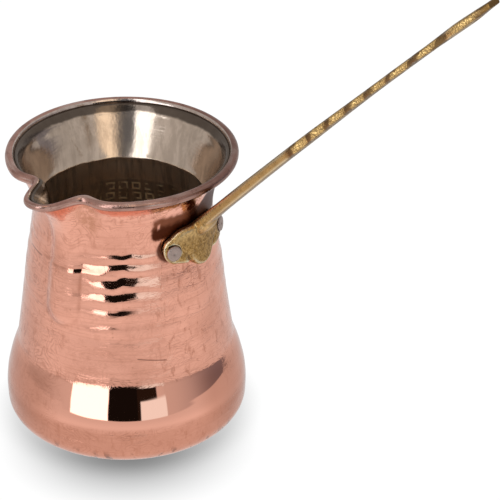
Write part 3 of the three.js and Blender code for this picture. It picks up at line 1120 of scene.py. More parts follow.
@dataclass(frozen=True)
class RivetMetal(Finish):
    """Dull grey rivet metal, hammered and a little dirty."""

    metal: Colour = (0.42, 0.32, 0.28, 1.0)
    dirt: Colour = (0.16, 0.12, 0.1, 1.0)

    def look(self, graph: Graph, place: dict) -> tuple:
        """What the rivet looks like.

        Args:
            graph: The material's graph.
            place: The outputs of the place group by name.

        Returns:
            The colour, the roughness and the normal.
        """
        spot = place["Place"]
        cloud = graph.mask(self.effects.blotches, Place=spot, Scale=0.7, Cover=0.45, Edge=0.3)
        pits = graph.mask(self.effects.pits, Place=spot, Scale=1.8, Share=0.7)
        colour = graph.coats(self.metal, (self.dirt, cloud, 0.4), (self.dirt, pits, 0.6))
        skin = graph.total((graph.noise(spot, 1.4, 3.0), 0.12), (pits, -0.05))
        return colour, graph.total((0.4,), (cloud, 0.1)), graph.bump(skin, 0.7)


# ---------------------------------------------------------------------------------------------------
# The pot's shape


@dataclass(frozen=True)
class PotShape:
    """The sizes that the copper, the tin, the handle and the rivets share."""

    height: float = 89.2
    neck_radius: float = 26.8
    base_flat_radius: float = 29.5
    corner_radius: float = 6.9
    copper: float = 1.2
    tin: float = 0.25
    gap: float = 0.3
    bead_radius: float = 1.4
    bead_ring_radius: float = 33.0
    lean: float = 0.4
    lean_turn: float = -30.0
    spout_turn: float = -89.5
    spout_half_turn: float = 10.5
    spout_reach: float = 8.2
    spout_foot: float = 66.0
    beak_curl: float = 1.8
    channel_reach: float = 1.7
    channel_bottom: float = 44.2
    channel_half_width: float = 5.3
    channel_turn_radius: float = 30.0
    pinch_depth: float = 2.8
    pinch_turn: float = 17.5
    pinch_half_turn: float = 8.0
    pinch_foot: float = 76.0
    saddle_top: float = 74.0
    curve_steps: int = 24
    wall_points: tuple = (
        (36.4, 6.9),
        (36.5, 11),
        (36.1, 15.2),
        (35.25, 19),
        (34.65, 21.2),
        (33.97, 23.2),
        (33.08, 25.6),
        (32.79, 26.4),
        (32.6, 27.5),
        (32.2, 30.3),
        (31.35, 36.5),
        (30.5, 43),
        (29.2, 54),
        (27.5, 64),
        (26.8, 71),
        (27.5, 77),
        (29.4, 82.5),
        (32.2, 86.6),
    )

    def wall(self, pitch: float) -> np.ndarray:
        """The outer wall's line from the flat base's edge to the lip.

        Args:
            pitch: The wanted distance between neighbouring points.

        Returns:
            The points as (radius, height).
        """
        centre = (self.base_flat_radius, self.corner_radius)
        corner = arc(centre, self.corner_radius, -90, 0, self.curve_steps)
        return evenly(np.vstack([corner[:-1], through_points(self.wall_points, self.curve_steps)]), pitch)

    def wall_radius(self, height: np.ndarray) -> np.ndarray:
        """The outer wall's radius at a height above the belly."""
        upper = through_points(self.wall_points, self.curve_steps)
        return np.interp(height, upper[:, 1], upper[:, 0])

    def channel_place(self, angle: np.ndarray, height: np.ndarray) -> np.ndarray:
        """The distance from the middle line of the spout's U-shaped channel.

        Args:
            angle: Angles round the pot.
            height: Heights on the wall.

        Returns:
            The distances, in half widths of the channel.
        """
        off = turn_between(angle, math.radians(self.spout_turn))
        below = np.clip(self.channel_bottom + self.channel_half_width - height, 0, None)
        return np.hypot(off * self.channel_turn_radius, below) / self.channel_half_width

    def out_of_round(self, angle: np.ndarray, height: np.ndarray) -> np.ndarray:
        """How far the wall stands out of round: the spout, its channel, its two pinches and the lean.

        Args:
            angle: Angles round the pot.
            height: Heights on the wall.

        Returns:
            How far out each point stands.
        """
        off = turn_between(angle, math.radians(self.spout_turn))
        half = math.radians(self.spout_half_turn)
        climb = np.clip((height - self.spout_foot) / (self.height - self.spout_foot), 0, 1)
        beak = (self.spout_reach - self.channel_reach) * climb**self.beak_curl
        lobe = np.exp(-(np.abs(off / half) ** 3))
        reach = self.channel_place(angle, height)
        panel = self.channel_reach * np.exp(-(reach**4.5))
        upper = rise(height, self.spout_foot, self.height)
        channel = panel * (1 - upper) + self.channel_reach * lobe * upper
        side = math.radians(self.pinch_turn)
        width = math.radians(self.pinch_half_turn)
        pinches = bell(off - side, width) + bell(off + side, width)
        pinch = self.pinch_depth * rise(height, self.pinch_foot, self.height) * pinches
        leaning = self.lean * rise(height, self.saddle_top, self.height)
        return beak * lobe + channel - pinch + leaning * np.cos(angle - math.radians(self.lean_turn))

    def angles(self, segments: int, crowding: float = 0.4) -> np.ndarray:
        """Angles round the pot, closest together at the spout."""
        even = np.linspace(0, 2 * math.pi, segments, endpoint=False)
        return math.radians(self.spout_turn) + even - crowding * np.sin(even)


@dataclass
class TurnedShell:
    """A closed shell turned about the pot's axis and pushed out of round."""

    name: str
    outline: np.ndarray
    angles: np.ndarray
    shape: PotShape

    def build(self, relief: np.ndarray) -> bpy.types.Object:
        """Builds the shell.

        Args:
            relief: How far each vertex of each ring is pushed out, one row for each outline point
                between the first and the last, which lie on the axis.

        Returns:
            The mesh object.
        """
        rings = self.outline[1:-1]
        radius, height = rings[:, :1], rings[:, 1:]
        upright = rise(radius, 6.0, 20.0)
        radial = radius + upright * self.shape.out_of_round(self.angles[None, :], height) + relief
        x, y = radial * np.cos(self.angles), radial * np.sin(self.angles)
        points = np.stack([x, y, np.broadcast_to(height, x.shape)], axis=-1)
        return capped_tube(self.name, points, [[0, 0, self.outline[0, 1]], [0, 0, self.outline[-1, 1]]])


class HammerRow(NamedTuple):
    """A row of hammer marks: its height, its depth, and the middle and half width of its deep part."""

    height: float
    depth: float
    middle: float
    half_turn: float


@dataclass
class CopperBody:
    """The raised copper pot: base, mirror belly, hammered wall, neck, funnel and rolled lip."""

    shape: PotShape
    wall_finish: bpy.types.Material
    lip_finish: bpy.types.Material
    crest_finish: bpy.types.Material
    segments: int = 352
    wall_pitch: float = 0.5
    inner_pitch: float = 4.0
    lip_steps: int = 18
    rows: tuple = (
        HammerRow(34.5, 0.0, -60, 20),
        HammerRow(39.5, 0.02, -60, 20),
        HammerRow(44.6, 0.085, -64, 9.5),
        HammerRow(49.7, 0.105, -59, 10.5),
        HammerRow(54.5, 0.105, -60.5, 11.5),
        HammerRow(59.2, 0.12, -58, 18),
        HammerRow(64.1, 0.155, -56, 20),
        HammerRow(67.3, 0.18, -51, 11),
        HammerRow(70.5, 0.0, -50, 11),
    )
    deep_behind: tuple = ((70, 35), (175, 30))
    light_share: float = 0.3
    facet_width: float = 5.4
    row_wander: float = 3.5
    channel_half_turn: float = 13.0
    ring_height: float = 62.0
    ring_step: float = 0.3
    ring_turns: tuple = (-115, -104, -70, -60)
    flat_turn: float = -45.0
    flat_half_turn: float = 14.0
    flat_depth: float = 0.5
    flat_start: tuple = (38, 62)
    flat_end: tuple = (67.5, 80)
    dents: float = 0.05
    dents_start: tuple = (27, 33)
    belly_dents: float = 0.012
    belly_dents_start: tuple = (12, 16)
    relief_start: tuple = (3.0, 8.0)
    relief_end_below_lip: tuple = (3.5, 8.0)
    crease_place: float = 1.12
    crease_end: tuple = (64, 58)
    # Where the painted shade along the ring line lies.
    ring_shade_turn: float = -84.0
    ring_shade_half_turn: float = 22.0
    crest_share: float = 0.8
    node: str = "copper_body"

    def row_depth(self, turn: np.ndarray, height: np.ndarray, nearest: np.ndarray) -> np.ndarray:
        """How deep the rows of hammer marks are: deep in front and in two places behind, light elsewhere.

        Args:
            turn: Turns round the pot in degrees.
            height: Heights on the wall.
            nearest: The number of the row nearest to each height.

        Returns:
            The depth at each turn and height.
        """
        heights, depths, middles, half_turns = np.array(self.rows, float).T
        wander = self.row_wander * lattice_noise(nearest * 1.7, nearest * 0.0, 17)
        front = np.exp(-(((turn - middles[nearest] - wander) / half_turns[nearest]) ** 4))
        behind = sum(turned_bell(np.radians(turn), *place) for place in self.deep_behind)
        share = self.light_share + (1 - self.light_share) * np.clip(front + behind, 0, 1)
        return np.interp(height, heights, depths) * share

    def hammered(self, angle: np.ndarray, height: np.ndarray) -> np.ndarray:
        """The relief of the outer wall: rows of hammer marks, the ring line, soft dents and a flat patch.

        Args:
            angle: Angles round the pot.
            height: Heights on the wall.

        Returns:
            How far out each point stands.
        """
        marks = round(2 * math.pi * self.shape.neck_radius / self.facet_width)
        lap = angle / (2 * math.pi)
        turn = np.degrees(turn_between(angle, 0.0))
        row = np.interp(height, [row.height for row in self.rows], np.arange(len(self.rows)))
        nearest = np.round(row).astype(int)
        depth = self.row_depth(turn, height, nearest)
        shift = 0.12 * lap_noise(lap, 2 * marks, nearest * 3.0, 5)
        facets = 1.0 + 0.28 * lap_noise(lap, marks, nearest * 7.0, 7)
        dimples = 0.35 * depth * lap_noise(lap, 1.5 * marks, nearest * 5.0, 9)
        rows = dimples - depth * facets * np.sin(2 * math.pi * (row + shift))
        channel = turned_bell(angle, self.shape.spout_turn, self.channel_half_turn)
        above_ring = height - self.ring_height
        ring = self.ring_step * rise(above_ring, -7, -0.5) * (1 - rise(above_ring, -0.2, 0.45))
        left, left_full, right_full, right = self.ring_turns
        ring = ring * (1 - rise(turn, right_full, right)) * rise(turn, left, left_full)
        dents = self.dents * lap_noise(lap, 16, height / 10, 11) * rise(height, *self.dents_start)
        belly = self.belly_dents * lap_noise(lap, 40, height / 6, 13) * rise(height, *self.belly_dents_start)
        flat = self.flat_depth * turned_bell(angle, self.flat_turn, self.flat_half_turn)
        flat = flat * rise(height, *self.flat_start) * (1 - rise(height, *self.flat_end))
        return rows * (1 - 0.95 * channel) + ring * (1 - 0.5 * channel) + dents + belly - flat

    def build(self) -> bpy.types.Object:
        """Builds the pot.

        Returns:
            The mesh object.
        """
        shape = self.shape
        outer = shape.wall(self.wall_pitch)
        bead_centre = (shape.bead_ring_radius, shape.height - shape.bead_radius)
        lip = arc(bead_centre, shape.bead_radius, -75, 160, self.lip_steps)
        coarse = shape.wall(self.inner_pitch)
        inner = (coarse - shape.copper * side_normals(coarse))[::-1]
        base = np.column_stack([np.arange(4, shape.base_flat_radius - 1, 4), np.zeros(7)])
        inner_base = base[::-1] + [0, shape.copper]
        outline = np.vstack([[[0, 0]], base, outer, lip, inner, inner_base, [[0, shape.copper]]])
        angles = shape.angles(self.segments)
        relief = np.zeros((len(outline) - 2, self.segments))
        first = len(base)
        wall = slice(first, first + len(outer))
        height = outer[:, 1:]
        flank = rise(height, *self.relief_start) * rise(shape.height - height, *self.relief_end_below_lip)
        relief[wall] = flank * self.hammered(angles[None, :], height)
        piece = TurnedShell("raised_copper_pot", outline, angles, shape).build(relief)
        self.mark_creases(piece)
        self.dress(piece, first + len(outer), len(lip))
        mount_piece(piece, self.node)
        return piece

    def mark_creases(self, piece: bpy.types.Object) -> None:
        """Marks the edge of the spout's channel and the ring line on each vertex, for painted shade along
        them.

        Args:
            piece: The pot.
        """
        places = np.empty(3 * len(piece.data.vertices))
        piece.data.vertices.foreach_get("co", places)
        x, y, z = places.reshape(-1, 3).T / MM
        angle = np.arctan2(y, x)
        edge = bell(self.shape.channel_place(angle, z) - self.crease_place, 0.1) * rise(z, *self.crease_end)
        outside = np.hypot(x, y) > self.shape.neck_radius - 0.3
        in_front = bell(np.degrees(angle) - self.ring_shade_turn, self.ring_shade_half_turn)
        ring = bell(z - self.ring_height - 0.45, 0.4) * in_front * outside
        patchy = 0.55 + 0.45 * lattice_noise(angle * 20 % 100, z / 3, 31)
        attribute = piece.data.attributes.new(CREASE, "FLOAT", "POINT")
        attribute.data.foreach_set("value", (np.maximum(edge, ring) * patchy).astype(np.float32))

    def dress(self, piece: bpy.types.Object, lip_start: int, lip_count: int) -> None:
        """Gives the wall, the lip and the lip's tinned crest their finishes.

        Args:
            piece: The pot.
            lip_start: The ring at which the lip starts.
            lip_count: The number of rings in the lip.
        """
        for finish in (self.wall_finish, self.lip_finish, self.crest_finish):
            piece.data.materials.append(finish)
        ring = np.arange(len(piece.data.polygons)) // self.segments
        crest = lip_start + round(lip_count * self.crest_share)
        index = np.zeros(len(ring), np.int32)
        index[(ring >= lip_start - 1) & (ring < crest)] = 1
        index[(ring >= crest) & (ring < lip_start + lip_count)] = 2
        piece.data.polygons.foreach_set("material_index", index)


@dataclass
class TinLining:
    """The tin inside the pot, with the groove under the lip and the marks of the hammer below the neck."""

    shape: PotShape
    finish: bpy.types.Material
    segments: int = 300
    inner_pitch: float = 0.6
    outer_pitch: float = 4.0
    neck_crease: float = 72.6
    crease_depth: float = 0.25
    groove_depth: float = 0.18
    groove_start: tuple = (84.9, 86.4)
    groove_end: tuple = (86.6, 87.8)
    dent_depth: float = 0.12
    planished_depth: float = 0.05
    planished_start: tuple = (40, 46)
    planished_end: tuple = (70, 66)
    leaning_crease: tuple = (159.0, 78.0)
    square_height: float = 4.8
    squares_round: int = 36
    node: str = "tin_lining"

    def build(self) -> bpy.types.Object:
        """Builds the lining.

        Returns:
            The mesh object.
        """
        shape = self.shape
        outside = shape.copper + shape.gap
        inside = outside + shape.tin
        coarse = shape.wall(self.outer_pitch)
        fine = shape.wall(self.inner_pitch)
        back = coarse - outside * side_normals(coarse)
        face = (fine - inside * side_normals(fine))[::-1]
        rim_height = shape.height - 1
        rim_radius = shape.bead_ring_radius - shape.bead_radius
        rim = np.array([[rim_radius, rim_height - 0.3], [rim_radius, rim_height + 0.1]])
        base = np.column_stack([np.arange(4, 28, 4), np.zeros(6)])
        back_base = base + [0, outside]
        face_base = base[::-1] + [0, inside]
        outline = np.vstack([[[0, outside]], back_base, back, rim, face, face_base, [[0, inside]]])
        angles = shape.angles(self.segments)
        relief = np.zeros((len(outline) - 2, self.segments))
        first = len(back_base) + len(back) + len(rim)
        height = face[:, 1:]
        relief[first : first + len(face)] = -self.dented(angles[None, :], height)
        piece = TurnedShell("wiped_tin_lining", outline, angles, shape).build(relief)
        piece.data.materials.append(self.finish)
        mount_piece(piece, self.node)
        return piece

    def dented(self, angle: np.ndarray, height: np.ndarray) -> np.ndarray:
        """The relief of the lining's face: the groove, the creases, the dents and the planished squares.

        Args:
            angle: Angles round the pot.
            height: Heights on the wall.

        Returns:
            How far in each point stands.
        """
        groove = self.groove_depth * rise(height, *self.groove_start) * (1 - rise(height, *self.groove_end))
        crease = self.crease_depth * bell(height - self.neck_crease, 0.8)
        dents = self.dent_depth * (1 + lap_noise(angle / (2 * math.pi), 22, height / 8, 21))
        crease_turn, crease_height = self.leaning_crease
        from_crease = np.degrees(turn_between(angle, math.radians(crease_turn)))
        leaning = self.crease_depth * bell(from_crease - (height - crease_height), 1.0)
        squares = np.sin(height * 2 * math.pi / self.square_height) * np.sin(angle * self.squares_round)
        planished = self.planished_depth * (1 + squares)
        planished = planished * rise(height, *self.planished_end) * rise(height, *self.planished_start)
        return groove + crease + dents + leaning + planished


@dataclass
class BrassHandle:
    """The cast handle: a three-lobed saddle bent round the neck, and a stem that ends in a leaf."""

    shape: PotShape
    finish: bpy.types.Material
    rivet_sites: list
    thickness: float = 2.5
    bottom: float = 60.1
    top: float = 74.0
    ear_across: float = 10.6
    ear_height: float = 67.8
    ear_half_width: float = 3.1
    ear_half_height: float = 4.1
    middle_lobe: tuple = ((2.6, 60.7), (4.9, 62.6))
    notch: tuple = (7.3, 62.9)
    shoulder: tuple = (8.6, 73.6)
    crown_half_width: float = 5.0
    root: tuple = (28.6, 72.6)
    bow: tuple = (74.4, 121.9)
    tip: tuple = (125.0, 171.0)
    thickness_at: tuple = ((0, 3.8), (0.12, 3.3), (0.36, 3.0), (0.66, 2.2), (0.8, 2.2), (0.91, 2.7), (1, 1.9))
    width_at: tuple = ((0, 5.6), (0.36, 6.4), (0.8, 6.8), (0.86, 6.4), (0.92, 12.0), (1, 5.0))
    lobe_count: int = 6
    first_lobe: float = 0.384
    lobe_pitch: float = 0.0656
    lobe_half_length: float = 0.022
    lobe_swell: float = 2.4
    knot_place: float = 0.796
    knot_swell: float = 3.2
    lobe_hollow: float = 0.4
    lobe_hollow_share: float = 0.62
    leaf_place: float = 0.9
    leaf_hollow: float = 0.35
    leaf_hollow_share: float = 0.5
    hole_place: float = 0.945
    hole_radius: float = 2.0
    seat_radius: float = 2.63
    seat_depth: float = 0.6
    stem_stations: int = 260
    stem_around: int = 40
    squareness: float = 0.45
    saddle_middle: tuple = (0.0, 67.4)
    saddle_crown: float = 0.15
    saddle_rounding: float = 0.95
    crease_depth: float = 0.95
    crease_half_width: float = 0.75
    crease_foot: tuple = (5.0, 62.6)
    crease_slope: float = 0.42
    crease_end: tuple = (68.5, 63.5)
    tongue_middle: tuple = (30.6, 73.6)
    tongue_half_sizes: tuple = (6.0, 2.95, 2.15)
    tongue_steps: int = 14
    tongue_around: int = 28
    voxel: float = 0.3
    node: str = "brass_handle"

    @staticmethod
    def along(stations: tuple, place: np.ndarray) -> np.ndarray:
        """A value that runs softly through stations.

        Args:
            stations: Each station's (place, value), in order.
            place: Shares of the stem's length.

        Returns:
            The value at each place.
        """
        value = np.full_like(place, stations[0][1])
        for (start, low), (stop, high) in zip(stations, stations[1:]):
            value = value + (high - low) * rise(place, start, stop)
        return value

    def lobes(self, place: np.ndarray) -> np.ndarray:
        """1 at the middle of each lobe of the stem, 0 between them."""
        middles = [self.first_lobe + self.lobe_pitch * i for i in range(self.lobe_count)]
        return sum(bell(place - middle, self.lobe_half_length) for middle in middles)

    def stem_line(self, place: np.ndarray) -> tuple:
        """The stem's middle line and its direction.

        Args:
            place: Shares of the stem's length, from the saddle.

        Returns:
            The points as (x, z) and the unit directions as (x, z).
        """
        root, bow, tip = (np.array(point) for point in (self.root, self.bow, self.tip))
        t = place[..., None]
        point = (1 - t) ** 2 * root + 2 * t * (1 - t) * bow + t**2 * tip
        ahead = 2 * (1 - t) * (bow - root) + 2 * t * (tip - bow)
        return point, ahead / np.linalg.norm(ahead, axis=-1, keepdims=True)

    def build_stem(self) -> bpy.types.Object:
        """The stem as a closed bar with a rounded section, shallow hollows and a leaf end.

        Returns:
            The mesh object.
        """
        place = np.linspace(0, 1, self.stem_stations)[:, None]
        turn = np.linspace(0, 2 * math.pi, self.stem_around, endpoint=False)[None, :]
        around = np.cos(turn), np.sin(turn)
        across, through = (np.sign(part) * np.abs(part) ** self.squareness for part in around)
        lobes = self.lobes(place)
        knot = bell(place - self.knot_place, self.lobe_half_length)
        width = self.along(self.width_at, place) + self.lobe_swell * lobes + self.knot_swell * knot
        thick = self.along(self.thickness_at, place)
        in_lobes = np.clip(lobes + knot, 0, 1) * np.clip(1 - (across / self.lobe_hollow_share) ** 2, 0, 1)
        in_leaf = bell(place - self.leaf_place, self.lobe_half_length)
        in_leaf = in_leaf * np.clip(1 - (across / self.leaf_hollow_share) ** 2, 0, 1)
        lift = through * (thick / 2 - self.lobe_hollow * in_lobes - self.leaf_hollow * in_leaf)
        point, ahead = self.stem_line(place[:, 0])
        x = point[:, :1] - ahead[:, 1:] * lift
        z = point[:, 1:] + ahead[:, :1] * lift
        rings = np.stack([x, width / 2 * across, z], axis=-1)
        return capped_tube("stem", rings, [[point[end, 0], 0, point[end, 1]] for end in (0, -1)])

    def saddle_outline(self) -> np.ndarray:
        """The saddle's edge seen from the front.

        Returns:
            Points evenly apart, as (y, z).
        """
        ear_base = (self.ear_across, self.ear_height - self.ear_half_height)
        first = through_points([(0, self.bottom), *self.middle_lobe], 8)
        second = through_points([self.middle_lobe[-1], self.notch, ear_base], 8)
        turn = np.radians(np.linspace(-90, 75, 30))
        ear_sizes = [self.ear_half_width, self.ear_half_height]
        ear = [self.ear_across, self.ear_height] + ear_sizes * np.column_stack([np.cos(turn), np.sin(turn)])
        crown_points = [tuple(ear[-1]), self.shoulder, (self.crown_half_width, self.top), (0, self.top)]
        crown = through_points(crown_points, 8)
        right = np.vstack([first[:-1], second[:-1], ear[:-1], crown])
        left = right[1:-1][::-1] * [-1, 1]
        return evenly(np.vstack([right, left, right[:1]]), 0.5)[:-1]

    def build_saddle(self) -> bpy.types.Object:
        """The saddle's plate: closed, bent round the neck, with rounded edges and two creases.

        Returns:
            The mesh object.
        """
        edge = self.saddle_outline()
        middle = np.array(self.saddle_middle)
        shares = np.concatenate([np.linspace(0.05, 0.9, 18), [0.94, 0.975, 1.0]])
        spread = middle + shares[:, None, None] * (edge - middle)[None, :, :]
        y, z = spread[..., 0], spread[..., 1]
        crown = 2 * self.saddle_crown * (1 - shares[:, None] ** 2)
        rounding = self.saddle_rounding * rise(shares, 0.8, 1.02)[:, None] ** 2
        foot_y, foot_z = self.crease_foot
        from_crease = np.abs(y) - (foot_y + self.crease_slope * (z - foot_z))
        crease = self.crease_depth * bell(from_crease, self.crease_half_width) * rise(z, *self.crease_end)
        front = self.thickness - self.saddle_crown + crown - rounding - crease
        neck = self.shape.wall_radius(z) + self.shape.gap
        turn = np.arcsin(y / (neck + self.thickness))

        def layer(radius: np.ndarray) -> np.ndarray:
            """The plate's points at that distance from the pot's axis."""
            return np.stack([radius * np.cos(turn), radius * np.sin(turn), z], axis=-1)

        rings = np.vstack([layer(neck + front), layer(neck)[::-1]])
        at_middle = float(self.shape.wall_radius(middle[1])) + self.shape.gap
        ends = [[at_middle + depth, 0, middle[1]] for depth in (self.thickness + self.saddle_crown, 0.0)]
        return capped_tube("saddle", rings, ends, turned_over=True)

    def build_tongue(self) -> bpy.types.Object:
        """The rounded end of the stem where it lies on the saddle.

        Returns:
            The mesh object.
        """
        tilt = math.atan2(self.bow[1] - self.root[1], self.bow[0] - self.root[0])
        row = np.linspace(0, math.pi, self.tongue_steps)[1:-1, None]
        turn = np.linspace(0, 2 * math.pi, self.tongue_around, endpoint=False)[None, :]
        half_length, half_width, half_thickness = self.tongue_half_sizes
        middle_x, middle_z = self.tongue_middle

        def placed(ahead: np.ndarray, y: np.ndarray, lift: np.ndarray) -> np.ndarray:
            """Points given by where they are on the stem.

            Args:
                ahead: How far along the stem they are.
                y: How far across it.
                lift: How far above it.

            Returns:
                The points.
            """
            x = middle_x + ahead * math.cos(tilt) - lift * math.sin(tilt)
            z = middle_z + ahead * math.sin(tilt) + lift * math.cos(tilt)
            return np.stack(np.broadcast_arrays(x, y, z), axis=-1)

        ahead = half_length * np.cos(row)
        y, lift = half_width * np.sin(row) * np.cos(turn), half_thickness * np.sin(row) * np.sin(turn)
        ends = [placed(end * half_length, 0.0, 0.0) for end in (1, -1)]
        return capped_tube("tongue", placed(ahead, y, lift), ends, turned_over=True)

    def fuse(self, pieces: list) -> bpy.types.Object:
        """Joins closed pieces into one casting with softened corners.

        Args:
            pieces: The mesh objects, of which the first is kept.

        Returns:
            The casting.
        """
        casting = pieces[0]
        combine(casting, pieces[1:], Combine.JOIN)
        remesh = casting.modifiers.new("casting", "REMESH")
        remesh.mode = "VOXEL"
        remesh.voxel_size = self.voxel * MM
        soften = casting.modifiers.new("soften", "SMOOTH")
        soften.factor = 0.5
        soften.iterations = 3
        settle_modifiers(casting)
        return casting

    def build(self) -> bpy.types.Object:
        """Builds the handle.

        Returns:
            The mesh object.
        """
        piece = self.fuse([self.build_stem(), self.build_saddle(), self.build_tongue()])
        piece.name = self.node + "_casting"
        cutters = [site.cutter(self.seat_radius, self.seat_depth) for site in self.rivet_sites]
        cutters.append(self.hole_cutter())
        combine(piece, cutters, Combine.CUT)
        piece.data.shade_smooth()
        piece.data.set_sharp_from_angle(angle=math.radians(50))
        piece.data.materials.clear()
        piece.data.materials.append(self.finish)
        mount_piece(piece, self.node)
        return piece

    def hole_cutter(self) -> bpy.types.Object:
        """The cutter for the hanging hole through the leaf.

        Returns:
            The mesh object.
        """
        point, ahead = self.stem_line(np.array([self.hole_place]))
        axis = Vector((-ahead[0, 1], 0, ahead[0, 0]))
        profile = [(0, -5), (self.hole_radius, -5), (self.hole_radius, 5), (0, 5)]
        return turned_on_axis("hole", profile, Vector((point[0, 0], 0, point[0, 1])), axis, 40)


@dataclass(frozen=True)
class RivetSite:
    """Where a rivet sits on the saddle and which way it points."""

    shape: PotShape
    side: Side
    turn: float = 22.0
    height: float = 67.8
    plate: float = 2.5
    slope: float = 0.1

    def axis(self) -> Vector:
        """The way the rivet's head points."""
        angle = math.radians(self.side.value * self.turn)
        return Vector((math.cos(angle), math.sin(angle), self.slope)).normalized()

    def seat(self) -> Vector:
        """The middle of the rivet's seat on the saddle's face.

        Returns:
            The place in millimetres.
        """
        angle = math.radians(self.side.value * self.turn)
        radius = float(self.shape.wall_radius(self.height)) + self.shape.gap + self.plate
        return Vector((radius * math.cos(angle), radius * math.sin(angle), self.height))

    def cutter(self, radius: float, depth: float) -> bpy.types.Object:
        """The cutter for the round seat, with a chamfer at its mouth.

        Args:
            radius: The seat's radius.
            depth: Its depth below the saddle's face.

        Returns:
            The mesh object.
        """
        mouth = radius + 0.25
        profile = [(0, -depth), (radius, -depth), (radius, 0.12), (mouth, 0.4), (mouth, 2), (0, 2)]
        return turned_on_axis("seat", profile, self.seat(), self.axis(), 56)


@dataclass
class Rivet:
    """One rivet as set: a dimpled head in its seat, a shank, and a hammered head inside the pot."""

    site: RivetSite
    finish: bpy.types.Material
    head_radius: float = 2.33
    shank_radius: float = 1.5
    rise: float = 0.55
    seat_depth: float = 0.6
    tail_height: float = 0.9
    dimple: float = 0.22
    segments: int = 48

    def profile(self) -> list:
        """The rivet's outline.

        Returns:
            Points from the tail to the head, as (radius, height above the seat's rim).
        """
        shape = self.site.shape
        stack = self.site.plate + shape.copper + shape.tin + 3 * shape.gap
        under_head = shape.gap - self.seat_depth
        tail_radius = self.head_radius - 0.1
        turns = [math.radians(degrees) for degrees in (0, 15, 30, 45, 60, 72, 82, 90)]
        tail = [(tail_radius * math.sin(turn), -stack - self.tail_height * math.cos(turn)) for turn in turns]
        over_tail = -stack + 0.1
        shank = [(tail_radius, over_tail), (self.shank_radius, over_tail), (self.shank_radius, under_head)]
        head = [
            (self.head_radius - 0.1, under_head),
            (self.head_radius, under_head + 0.12),
            (self.head_radius, self.rise * 0.45),
            (self.head_radius - 0.06, self.rise * 0.68),
            (self.head_radius - 0.2, self.rise * 0.86),
            (self.head_radius * 0.8, self.rise * 0.95),
            (self.head_radius * 0.55, self.rise),
            (self.head_radius * 0.3, self.rise),
            (self.head_radius * 0.2, self.rise - self.dimple * 0.3),
            (self.head_radius * 0.12, self.rise - self.dimple * 0.85),
            (0, self.rise - self.dimple),
        ]
        return tail + shank + head

    def build(self) -> bpy.types.Object:
        """Builds the rivet.

        Returns:
            The mesh object.
        """
        node = "rivet_spout_side" if self.site.side is Side.SPOUT else "rivet_far_side"
        piece = turned_on_axis(node, self.profile(), self.site.seat(), self.site.axis(), self.segments)
        piece.name = node + "_set"
        piece.data.set_sharp_from_angle(angle=math.radians(40))
        piece.data.materials.append(self.finish)
        mount_piece(piece, node)
        return piece


# ---------------------------------------------------------------------------------------------------
# The studio


class Window(NamedTuple):
    """A part of the studio's tent: its sides and its bottom and top in degrees, soft edges, and its light."""

    left: float
    right: float
    low: float
    high: float
    soft: float
    soft_top: float
    light: Colour


